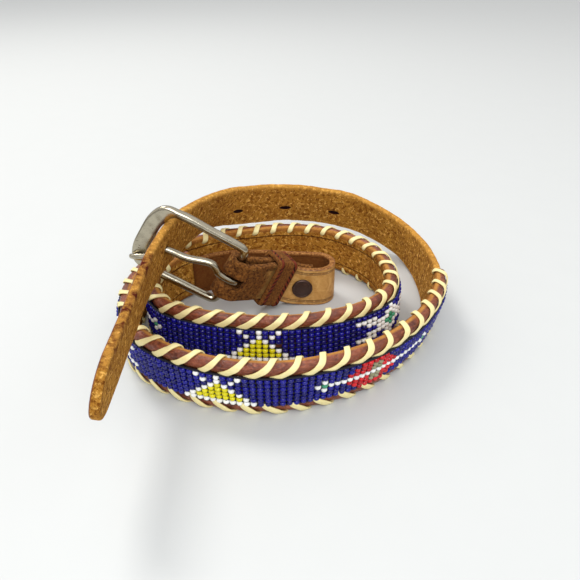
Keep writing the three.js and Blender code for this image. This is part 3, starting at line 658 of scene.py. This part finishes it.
def make_prong():
    """Round bar along a Catmull-Rom line: round the heel bar, through the strap's hole and over the rim."""
    loop = BAR / 2 + GAP + PRONG / 2
    depth = RIM_T / 2 + GAP + PRONG / 2
    pts = [in_frame(loop * math.cos(math.radians(k)), 0, loop * math.sin(math.radians(k)))
           for k in (-50, -90, -135, -180, -225, -265)]
    pts += [in_frame(u * FRAME_L, v * FRAME_OPEN / 2, d * depth) for u, v, d in
            ((0.14, -0.05, 1.15), (0.27, -0.25, 1.1), (0.52, 0, 1))]
    s = np.arange(0, strap.length / 3, 0.1)
    place = strap.at(s)[0]
    pts.append(place[np.argmax(place[:, 1] >= HEEL[1] - depth)])
    pts += [in_frame(u * FRAME_L, v * FRAME_OPEN / 2, d * depth) for u, v, d in
            ((0.885, 0.62, 1), (1, 0.86, 1), (1.05, 1, 0.5))]
    dense, slope = catmull(np.array(pts), np.linspace(0, 1, 1200))
    length = np.concatenate([[0], np.cumsum(np.linalg.norm(np.diff(dense, axis=0), axis=1))])
    share = np.linspace(0, 1, 110)
    line = np.stack([np.interp(share * length[-1], length, dense[:, k]) for k in range(3)], 1)
    slope = unit(np.stack([np.interp(share * length[-1], length, slope[:, k]) for k in range(3)], 1))
    across = unit(V - slope * (slope @ V)[:, None])
    other = np.cross(slope, across)
    end = np.minimum(1, np.sqrt(np.clip((1 - share) * length[-1] / 0.9, 0.02, 1)))
    start = np.minimum(1, np.sqrt(np.clip(share * length[-1] / 0.7, 0.05, 1)))
    half = PRONG / 2 * (1 - 0.4 * smoothstep(share, 0.88, 1.02)) * end * start
    return tube("buckle_prong", bar_rings(line, across, half, other, half, 0 * half, 18))


def make_keeper():
    """Loop round both leathers with round corners, raised by 0.36 exp(-((|l| - 3.7) / 0.75)^2)."""
    at = on_outer_leg(KEEPER_SHARE)
    place, along, wide, out = (k[0] for k in billet.at(np.array([at])))
    third = np.cross(out, wide)
    s = np.arange(at - KEEPER_L, billet.length, 0.5)
    held = follow(billet, s, rounded_bar(BILLET_T, BILLET_W, 0.45, 0.6))[0].reshape(-1, 3) - place
    held = held[np.abs(held @ along) < KEEPER_L / 2 + 1]
    a0, a1 = (held @ out).min() - GAP, (held @ out).max() + GAP
    w0, w1 = (held @ wide).min() - GAP, (held @ wide).max() + GAP
    inset, step, path = 0.4, 1.2, []
    for ca, cw, start in ((a1, w0, -1), (a1, w1, 0), (a0, w1, 1), (a0, w0, 2)):
        turned = np.linspace(0, np.pi / 2, 7) + start * np.pi / 2
        a = ca - np.sign(ca - (a0 + a1) / 2) * inset + inset * np.cos(turned)
        w = cw - np.sign(cw - (w0 + w1) / 2) * inset + inset * np.sin(turned)
        path.append(np.stack([a, w, np.cos(turned), np.sin(turned)], 1))
    corners = np.vstack(path)
    following = np.roll(corners, -1, axis=0)
    parts = np.maximum((np.hypot(*(following - corners)[:, :2].T) / step).astype(int), 1)
    whole = np.repeat(np.arange(len(corners)), parts)
    share = (np.arange(len(whole)) - np.repeat(np.cumsum(parts) - parts, parts)) / parts[whole]
    pts = corners[whole] + (following - corners)[whole] * share[:, None]
    normal = unit(pts[:, 2:])
    section = rounded_bar(KEEPER_WALL, KEEPER_L, 0.5, 0.35, 4)
    l = section[:, 1]
    ridge = 0.36 * np.exp(-((np.abs(l) - 3.7) / 0.75) ** 2) + 0.06 * np.sin(3.1 * l)
    high = section[:, 0] + KEEPER_WALL / 2 + ridge * (section[:, 0] > 0)
    a = pts[:, None, 0] + normal[:, None, 0] * high
    w = pts[:, None, 1] + normal[:, None, 1] * high
    rings = place + a[..., None] * out + w[..., None] * wide + np.broadcast_to(l, a.shape)[..., None] * third
    run = np.concatenate([[0], np.cumsum(np.hypot(*np.diff(pts[:, :2], axis=0).T))])
    attrs = {"along": np.broadcast_to(l, a.shape), "across": np.broadcast_to(run[:, None], a.shape)}
    return tube("keeper_leather", rings, closed=True, attrs=attrs)


def make_snap():
    """Lathe r(q), h(q): low dome, shallow ring groove and rolled edge."""
    place, along, wide, out = (k[0] for k in billet.at(np.array([on_outer_leg(SNAP_SHARE)])))
    base = place + out * (BILLET_T / 2 + 2.5 * GAP - 0.45)
    profile = np.array([(0.02, 0), (3.6, 0), (4.3, 0.15), (4.5, 0.5), (4.4, 0.9), (4.05, 1.15), (3.7, 1.15),
                        (3.45, 1.02), (3.1, 1.12), (2.2, 1.32), (1.1, 1.42), (0.02, 1.45)])
    dense, _ = catmull(profile, np.linspace(0, 1, 34))
    turn = np.linspace(0, 2 * np.pi, 40, endpoint=False)
    ring = along[None] * np.cos(turn)[:, None] + wide[None] * np.sin(turn)[:, None]
    pts = base + dense[:, None, :1] * ring[None] + dense[:, None, 1:] * out
    return tube("snap_dome", pts)


# Materials
class Nodes:
    """Short calls for the nodes of one tree; each returns an output socket."""

    def __init__(self, tree):
        self.tree = tree

    def add(self, kind, **values):
        node = self.tree.nodes.new(kind)
        for key, value in values.items():
            setattr(node, key, value)
        return node

    def set(self, socket, value):
        if isinstance(value, bpy.types.NodeSocket):
            self.tree.links.new(value, socket)
        else:
            socket.default_value = value

    def math(self, op, a, b=0.0, clamp=False):
        node = self.add("ShaderNodeMath", operation=op, use_clamp=clamp)
        self.set(node.inputs[0], a)
        self.set(node.inputs[1], b)
        return node.outputs[0]

    def range(self, value, lo, hi, to_lo=0.0, to_hi=1.0):
        node = self.add("ShaderNodeMapRange", clamp=True)
        for k, v in enumerate((value, lo, hi, to_lo, to_hi)):
            self.set(node.inputs[k], v)
        return node.outputs[0]

    def mix(self, fac, a, b, mode="MIX"):
        node = self.add("ShaderNodeMix", data_type="RGBA", blend_type=mode)
        self.set(node.inputs[0], fac)
        self.set(node.inputs[6], a)
        self.set(node.inputs[7], b)
        return node.outputs[2]

    def noise(self, vector, scale, detail=3.0, rough=0.5, distortion=0.0):
        node = self.add("ShaderNodeTexNoise")
        self.set(node.inputs["Vector"], vector)
        values = {"Scale": scale, "Detail": detail, "Roughness": rough, "Distortion": distortion}
        for key, value in values.items():
            self.set(node.inputs[key], value)
        return node.outputs["Fac"]

    def voronoi(self, vector, scale):
        node = self.add("ShaderNodeTexVoronoi")
        self.set(node.inputs["Vector"], vector)
        self.set(node.inputs["Scale"], scale)
        return node.outputs["Distance"]

    def stretch(self, vector, scale):
        node = self.add("ShaderNodeMapping")
        self.set(node.inputs["Vector"], vector)
        self.set(node.inputs["Scale"], scale)
        return node.outputs[0]

    def attribute(self, name):
        return self.add("ShaderNodeAttribute", attribute_name=name).outputs["Fac"]

    def bump(self, height, strength, distance):
        node = self.add("ShaderNodeBump")
        self.set(node.inputs["Strength"], strength)
        self.set(node.inputs["Distance"], distance)
        self.set(node.inputs["Height"], height)
        return node.outputs[0]

    def place(self):
        return self.add("ShaderNodeTexCoord").outputs["Object"]


def rgb(code):
    """Linear colour of a display colour code: c / 12.92 or ((c + 0.055) / 1.055) ** 2.4."""
    c = np.array([(code >> 16) & 255, (code >> 8) & 255, code & 255]) / 255
    c = np.where(c <= 0.04045, c / 12.92, ((c + 0.055) / 1.055) ** 2.4)
    return (*c.tolist(), 1.0)


def group(name, inputs, outputs, build):
    """Node group whose build(n, sockets) gives its outputs by name."""
    tree = bpy.data.node_groups.new(name, "ShaderNodeTree")
    for key, kind in inputs:
        tree.interface.new_socket(key, in_out="INPUT", socket_type=kind)
    for key, kind in outputs:
        tree.interface.new_socket(key, in_out="OUTPUT", socket_type=kind)
    n = Nodes(tree)
    source, sink = n.add("NodeGroupInput"), n.add("NodeGroupOutput")
    for key, value in build(n, source.outputs).items():
        n.set(sink.inputs[key], value)
    return tree


def use(n, tree, **values):
    """Places a node group in a material with its own values, and gives its outputs."""
    node = n.add("ShaderNodeGroup", node_tree=tree)
    for key, value in values.items():
        n.set(node.inputs[key.replace("_", " ")], value)
    return node.outputs


def build_grain(n, i):
    """Smooth leather: cells and fine noise with broad creases."""
    cells = n.voronoi(i["Vector"], i["Scale"])
    fine = n.noise(i["Vector"], n.math("MULTIPLY", i["Scale"], 2.3), 4, 0.6)
    creases = n.range(n.noise(i["Vector"], n.math("MULTIPLY", i["Scale"], 0.18), 5, 0.65, 0.8), 0.35, 0.65)
    height = n.math("ADD", n.math("MULTIPLY", cells, 0.6), n.math("MULTIPLY", fine, 0.5))
    height = n.math("ADD", height, n.math("MULTIPLY", creases, 0.5))
    return {"Height": height, "Tone": creases}


def build_fuzz(n, i):
    """Flesh side: nap, clumps of it and pale patches."""
    nap = n.noise(i["Vector"], 2600.0, 5, 0.75, 0.6)
    clumps = n.noise(i["Vector"], 420.0, 4, 0.6, 0.4)
    patches = n.noise(i["Vector"], 70.0, 3, 0.55)
    height = n.math("ADD", n.math("MULTIPLY", nap, 0.7), n.math("MULTIPLY", clumps, 0.6))
    tone = n.math("ADD", n.math("MULTIPLY", nap, 0.45), n.math("MULTIPLY", clumps, 0.35))
    tone = n.math("ADD", tone, n.math("MULTIPLY", patches, 0.3))
    return {"Height": height, "Tone": n.range(tone, 0.38, 0.74)}


def build_worn(n, i):
    """Worn plating: patches of pits, scratches along one way and soft dull spots."""
    pits = n.range(n.voronoi(i["Vector"], 900.0), 0.0, 0.28)
    patch = n.range(n.noise(i["Vector"], 130.0, 4, 0.6), 0.45, 0.62)
    pitted = n.math("MULTIPLY", n.math("SUBTRACT", 1.0, pits), patch)
    scratches = n.noise(n.stretch(i["Vector"], (400.0, 4000.0, 400.0)), 1.0, 3, 0.6)
    soft = n.noise(i["Vector"], 260.0, 5, 0.6)
    height = n.math("SUBTRACT", n.math("MULTIPLY", scratches, 0.25), pitted)
    return {"Height": height, "Pits": pitted, "Dull": n.math("ADD", n.math("MULTIPLY", scratches, 0.4),
                                                             n.math("MULTIPLY", soft, 0.6))}


def build_tuft(n, i):
    """Rough brown leather: short tufts between a low and a high level of one noise."""
    return {"Tone": n.range(n.noise(i["Vector"], i["Scale"], 4, 0.75, 0.4), i["Low"], i["High"])}


VECTOR, FLOAT = "NodeSocketVector", "NodeSocketFloat"
SURFACE = [("Height", FLOAT), ("Tone", FLOAT)]
grain = group("grain", [("Vector", VECTOR), ("Scale", FLOAT)], SURFACE, build_grain)
fuzz = group("fuzz", [("Vector", VECTOR)], SURFACE, build_fuzz)
worn = group("worn", [("Vector", VECTOR)], [("Height", FLOAT), ("Pits", FLOAT), ("Dull", FLOAT)], build_worn)


TUFT_INPUTS = [("Vector", VECTOR), ("Scale", FLOAT), ("Low", FLOAT), ("High", FLOAT)]
tuft = group("tuft", TUFT_INPUTS, [("Tone", FLOAT)], build_tuft)


def material(name, build):
    """build(n) gives the shader's sockets by name; a value that is no socket is set on the shader itself."""
    mat = bpy.data.materials.new(name)
    mat.use_nodes = True
    tree = mat.node_tree
    tree.nodes.clear()
    n = Nodes(tree)
    shader = n.add("ShaderNodeBsdfPrincipled")
    for key, value in build(n).items():
        n.set(shader.inputs[key], value)
    tree.links.new(shader.outputs[0], n.add("ShaderNodeOutputMaterial").inputs[0])
    return mat


def slit_shade_mask(n):
    """Painted shade: 1 in an ellipse round each spare slit, wider than its cut: u = min(|x|, ||x| - pitch|)
    for x from the middle slit.
    """
    x = n.math("ABSOLUTE", n.math("SUBTRACT", n.attribute("along"), SLIT + HOLE_PITCH))
    u = n.math("MINIMUM", x, n.math("ABSOLUTE", n.math("SUBTRACT", x, HOLE_PITCH)))
    v = n.math("MULTIPLY", n.math("ABSOLUTE", n.math("ADD", n.attribute("across"), SPARE_DROP)), 3.2)
    squares = n.math("ADD", n.math("POWER", u, 2.0), n.math("POWER", v, 2.0))
    return n.range(n.math("POWER", squares, 0.5), 3.3, 2.9)


def strap_look(n):
    """Golden flesh side with grooves, edges lightened as painted highlight, slits darkened with painted
    shade, and a streaked free end; reddish outer skin.
    """
    p = n.place()
    nap = use(n, fuzz, Vector=p)
    skin = use(n, grain, Vector=p, Scale=900.0)
    outward, across, along = n.attribute("outward"), n.attribute("across"), n.attribute("along")
    side = n.math("ABSOLUTE", across)
    is_skin = n.range(outward, 0.9, 1.3)
    flesh = n.mix(nap["Tone"], rgb(0x8A5212), rgb(0xD89C3E))
    flesh = n.mix(n.range(n.noise(p, 700.0, 3, 0.7), 0.5, 0.6), flesh, rgb(0x7E480E))
    flesh = n.mix(n.range(n.noise(p, 620.0, 3, 0.7, 0.5), 0.55, 0.64), flesh, rgb(0xEDB65A))
    # Painted highlight: the flesh side turns lighter golden along both edges, standing for light on the
    # strap's rounded top edge.
    flesh = n.mix(n.math("MULTIPLY", n.range(side, 8.4, 9.6), 0.4), flesh, rgb(0xDCA24C))
    tail = n.math("MULTIPLY", n.range(along, 84.0, 60.0), n.range(n.noise(p, 190.0, 4, 0.65), 0.45, 0.6))
    tail = n.math("MULTIPLY", tail, n.range(across, 5.0, 9.5))
    flesh = n.mix(tail, flesh, rgb(0x5A1E0C))
    laced = n.range(along, LACED - 1, LACED + 1)
    groove = n.math("MULTIPLY", n.range(side, 6.1, 6.3), n.range(side, 6.75, 6.5))
    groove = n.math("MULTIPLY", groove, n.math("MULTIPLY", laced, n.range(outward, -0.9, -1.2)))
    flesh = n.mix(n.math("MULTIPLY", groove, 0.8), flesh, rgb(0x4A2008))
    rim = n.math("MULTIPLY", laced, n.range(side, 8.2, 9.6))
    flesh = n.mix(n.math("MULTIPLY", rim, 0.6), flesh, rgb(0x7A3A1C))
    red = n.mix(skin["Tone"], rgb(0x5A2614), rgb(0x86442A))
    colour = n.mix(is_skin, flesh, red)
    # Painted shade: each spare slit is darkened near black over an ellipse wider than its cut, standing for
    # the shade inside the opening.
    colour = n.mix(slit_shade_mask(n), colour, rgb(0x240604))
    height = n.mix(is_skin, nap["Height"], skin["Height"])
    height = n.math("SUBTRACT", height, groove)
    return {"Base Color": colour, "Roughness": n.range(is_skin, 0, 1, 0.95, 0.45),
            "Normal": n.bump(height, 1.0, 0.0006), "Specular IOR Level": n.range(is_skin, 0, 1, 0.15, 0.5)}


def border_look(n):
    """Semi-gloss reddish leather with creases and a pale cut edge; its inner roll is flesh coloured."""
    p = n.place()
    skin = use(n, grain, Vector=p, Scale=800.0)
    across = n.math("ABSOLUTE", n.attribute("across"))
    crease = n.noise(n.stretch(p, (260.0, 260.0, 1500.0)), 1.0, 5, 0.7, 0.6)
    colour = n.mix(skin["Tone"], rgb(0x4E1C0C), rgb(0x8A4426))
    colour = n.mix(n.range(crease, 0.5, 0.68), colour, rgb(0x9C5636))
    cut_edge = n.math("MULTIPLY", n.range(across, 6.6, 6.9), n.range(across, 7.4, 7.1))
    colour = n.mix(cut_edge, colour, rgb(0xB98A56))
    nap = use(n, fuzz, Vector=p)
    inner = n.range(n.attribute("outward"), 0.9, 0.1)
    colour = n.mix(inner, colour, n.mix(nap["Tone"], rgb(0x8A4E18), rgb(0xD09640)))
    height = n.math("ADD", skin["Height"], n.math("MULTIPLY", crease, 1.4))
    return {"Base Color": colour, "Roughness": n.range(inner, 0, 1, 0.34, 0.9),
            "Normal": n.bump(height, 0.8, 0.0004), "Specular IOR Level": 0.5}


def lace_look(n):
    """Cream lace, streaked, a little darker at its edges."""
    p = n.place()
    streak = n.noise(n.stretch(p, (700.0, 700.0, 700.0)), 1.0, 4, 0.6)
    tone = n.attribute("tone")
    colour = n.mix(streak, rgb(0xE2D088), rgb(0xF4E9B4))
    colour = n.mix(n.math("MULTIPLY", tone, 0.25), colour, rgb(0xE9D79A))
    edge = n.range(n.math("ABSOLUTE", n.attribute("across")), 0.8, 1.0)
    colour = n.mix(n.math("MULTIPLY", edge, 0.35), colour, rgb(0xC8AC62))
    return {"Base Color": colour, "Roughness": 0.42, "Normal": n.bump(streak, 0.25, 0.0002),
            "Specular IOR Level": 0.4}


def bead_look(dark, light):
    """Glossy glass between a dark and a light colour, each bead with a tone of its own."""
    def build(n):
        tone = n.attribute("tone")
        speck = n.noise(n.place(), 900.0, 3, 0.5)
        colour = n.mix(n.math("ADD", n.math("MULTIPLY", tone, 0.7), n.math("MULTIPLY", speck, 0.3)),
                       rgb(dark), rgb(light))
        return {"Base Color": colour, "Roughness": 0.13, "Normal": n.bump(speck, 0.1, 0.0002),
                "Specular IOR Level": 0.45}
    return build


def thread_and_gap_shade_look(n):
    """Twisted thread, near black as painted shade between the beads."""
    twist = n.noise(n.place(), 3000.0, 2, 0.5)
    return {"Base Color": n.mix(twist, rgb(0x05050A), rgb(0x1A1A2C)), "Roughness": 0.8,
            "Normal": n.bump(twist, 0.4, 0.0002)}


def billet_look(n):
    """Smooth tan skin with dashed lines near its edges; the fold is rough and dark."""
    p = n.place()
    nap = use(n, fuzz, Vector=p)
    skin = use(n, grain, Vector=p, Scale=1400.0)
    along, side = n.attribute("along"), n.math("ABSOLUTE", n.attribute("across"))
    is_skin = n.range(n.attribute("outward"), 0.6, 1.1)
    tan = n.mix(skin["Tone"], rgb(0xAA7838), rgb(0xCDA05C))
    line = n.math("MULTIPLY", n.range(side, 6.3, 6.5), n.range(side, 7.6, 7.4))
    dash = n.math("MULTIPLY", line, n.range(n.math("PINGPONG", along, 1.5), 0.25, 0.45))
    edge = n.math("MULTIPLY", line, n.range(n.math("ABSOLUTE", n.math("SUBTRACT", side, 6.95)), 0.25, 0.4))
    mark = n.math("MAXIMUM", n.math("MULTIPLY", dash, 0.55), edge)
    tan = n.mix(n.math("MULTIPLY", mark, 0.8), tan, rgb(0x5E3818))
    flesh = n.mix(nap["Tone"], rgb(0x5E3416), rgb(0xA46C30))
    tufts = use(n, tuft, Vector=p, Scale=950.0, Low=0.38, High=0.62)["Tone"]
    rough_brown = n.mix(tufts, rgb(0x3A1C0A), rgb(0x8E5C2A))
    flesh = n.mix(n.math("MULTIPLY", tufts, 0.5), rgb(0x6A3A16), flesh)
    patches = n.range(n.noise(p, 160.0, 4, 0.65), 0.3, 0.44)
    fold = n.math("MULTIPLY", n.range(along, FOLD_S, FOLD_S + 4), patches)
    cut_edge = n.mix(tufts, rgb(0x5A2A12), rgb(0xB07C44))
    colour = n.mix(n.range(side, 8.2, 8.8), n.mix(is_skin, flesh, tan), cut_edge)
    colour = n.mix(fold, colour, rough_brown)
    smooth = n.math("MULTIPLY", is_skin, n.range(along, FOLD_S + 3, FOLD_S))
    height = n.mix(smooth, nap["Height"], n.math("MULTIPLY", skin["Height"], 0.3))
    height = n.math("SUBTRACT", height, mark)
    return {"Base Color": colour, "Roughness": n.range(smooth, 0, 1, 0.95, 0.5),
            "Normal": n.bump(height, 0.9, 0.0004), "Specular IOR Level": n.range(smooth, 0, 1, 0.15, 0.4)}


def keeper_look(n):
    """Rough brown leather with a dark stitched line near each edge."""
    p = n.place()
    nap = use(n, fuzz, Vector=p)
    side = n.math("ABSOLUTE", n.attribute("along"))
    line = n.math("MULTIPLY", n.range(side, 2.5, 2.9), n.range(side, 4.6, 4.2))
    dash = n.range(n.math("PINGPONG", n.math("ADD", n.attribute("across"), side), 1.1), 0.2, 0.45)
    tufts = use(n, tuft, Vector=p, Scale=1100.0, Low=0.36, High=0.64)["Tone"]
    colour = n.mix(tufts, rgb(0x4C2810), rgb(0x8C5A28))
    colour = n.mix(line, colour, n.mix(dash, rgb(0x200804), rgb(0x74301A)))
    height = n.math("ADD", nap["Height"], n.math("MULTIPLY", n.math("MULTIPLY", line, dash), 1.2))
    return {"Base Color": colour, "Roughness": n.range(line, 0, 1, 0.9, 0.65),
            "Normal": n.bump(height, 0.9, 0.0005), "Specular IOR Level": 0.15}


def nickel_look(n):
    """Worn nickel with pits and dull spots."""
    w = use(n, worn, Vector=n.place())
    colour = n.mix(w["Pits"], rgb(0xB2AA96), rgb(0x38322A))
    colour = n.mix(n.range(w["Dull"], 0.45, 0.75), colour, rgb(0x8E8674))
    return {"Base Color": colour, "Metallic": 1.0, "Roughness": n.range(w["Dull"], 0.3, 0.75, 0.12, 0.3),
            "Normal": n.bump(w["Height"], 0.3, 0.0002)}


def snap_look(n):
    """Dark brass."""
    w = use(n, worn, Vector=n.place())
    colour = n.mix(w["Dull"], rgb(0x33261F), rgb(0x66504A))
    return {"Base Color": colour, "Metallic": 0.85, "Roughness": n.range(w["Dull"], 0.3, 0.7, 0.3, 0.5),
            "Normal": n.bump(w["Height"], 0.25, 0.0002)}


def floor_look(n):
    """Pale matt surface with faint specks."""
    speck = n.noise(n.place(), 60.0, 3, 0.5)
    colour = n.mix(n.math("MULTIPLY", speck, 0.25), rgb(0xCCCECC), rgb(0xC4C6C4))
    return {"Base Color": colour, "Roughness": 0.6, "Normal": n.bump(speck, 0.05, 0.001)}


def dress(obj, mat, slot, *nodes):
    """Gives a piece its material and its body and hides the CAD nodes that it stands for; slot is not used.
    """
    obj.data.materials.clear()
    obj.data.materials.append(mat)
    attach(obj, "root")
    if nodes:
        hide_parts(*nodes)


dress(make_strap(), material("strap_leather", strap_look), "strap_leather", "belt_strap")
dress(make_panel(), material("border_leather", border_look), "panel_leather", "front_panel")
lace = material("lace", lace_look)
dress(make_wraps(1, "lace_top"), lace, "lace", "top_lacing")
dress(make_wraps(-1, "lace_bottom"), lace, "lace", "bottom_lacing")
BEAD_COLOURS = {"navy": (0x05054E, 0x101090), "white": (0xE4E4E0, 0xFCFCF8), "yellow": (0xD0C408, 0xEAE020),
                "red": (0xA00C14, 0xDA2028), "green": (0x2C7C58, 0x56B088), "olive": (0x7C7C58, 0xA8A284)}
for key, obj in make_beads().items():
    dress(obj, material("beads_" + key, bead_look(*BEAD_COLOURS[key])), "glass_beads", "bead_band")
dress(make_threads(), material("bead_threads_gap_shade", thread_and_gap_shade_look), "glass_beads")
dress(make_billet(), material("billet_leather", billet_look), "billet_leather", "buckle_billet")
dress(make_keeper(), material("keeper_leather", keeper_look), "keeper_leather", "keeper")
nickel = material("worn_nickel", nickel_look)
dress(make_frame(), nickel, "worn_nickel", "buckle_frame")
dress(make_prong(), nickel, "worn_nickel", "prong")
dress(make_snap(), material("dark_brass", snap_look), "dark_brass", "snap_cap")

# Floor and light
FLOOR_HALF = 3000.0
floor_points = np.array([(-1, -1, 0), (1, -1, 0), (1, 1, 0), (-1, 1, 0)]) * FLOOR_HALF
floor = solid("floor", floor_points - SHIFT, np.array([(0, 1, 2, 3)]), smooth=False)
floor.data.materials.append(material("floor", floor_look))


def area_light(name, place, target, size, power_w, colour):
    """Round light at place whose -Z looks at target."""
    data = bpy.data.lights.new(name, "AREA")
    data.shape = "DISK"
    data.size = size
    data.energy = power_w
    data.color = colour
    obj = bpy.data.objects.new(name, data)
    bpy.context.scene.collection.objects.link(obj)
    z = unit(np.array(place, float) - np.array(target, float))
    x = unit(np.cross((0.0, 0.0, 1.0), z))
    y = np.cross(z, x)
    obj.matrix_world = Matrix([[*map(float, r)] for r in
                               np.vstack([np.stack([x, y, z, np.array(place, float)], 1), [0, 0, 0, 1]])])
    return obj


area_light("key", (-0.45, 0.55, 0.95), (0, 0, 0), 0.4, 6.0, (1.0, 0.98, 0.95))
area_light("fill", (0.1, -0.9, 0.8), (0, 0, 0), 0.8, 8.0, (0.95, 0.97, 1.0))
world = bpy.data.worlds.new("world")
world.use_nodes = True
sky = Nodes(world.node_tree)
view = sky.add("ShaderNodeTexCoord").outputs["Generated"]
up = sky.add("ShaderNodeSeparateXYZ")
sky.set(up.inputs[0], view)
bands = sky.range(sky.noise(view, 1.6, 1, 0.4), 0.42, 0.6)
dome = sky.mix(sky.range(up.outputs[2], -0.05, 0.5), (0.2, 0.19, 0.18, 1), (1.04, 1.04, 1.06, 1))
dome = sky.mix(sky.math("MULTIPLY", bands, 0.45), dome, (0.3, 0.29, 0.28, 1))
sky.set(world.node_tree.nodes["Background"].inputs[0], dome)
world.node_tree.nodes["Background"].inputs[1].default_value = 1.0
bpy.context.scene.world = world
bpy.context.scene.view_settings.view_transform = "Standard"
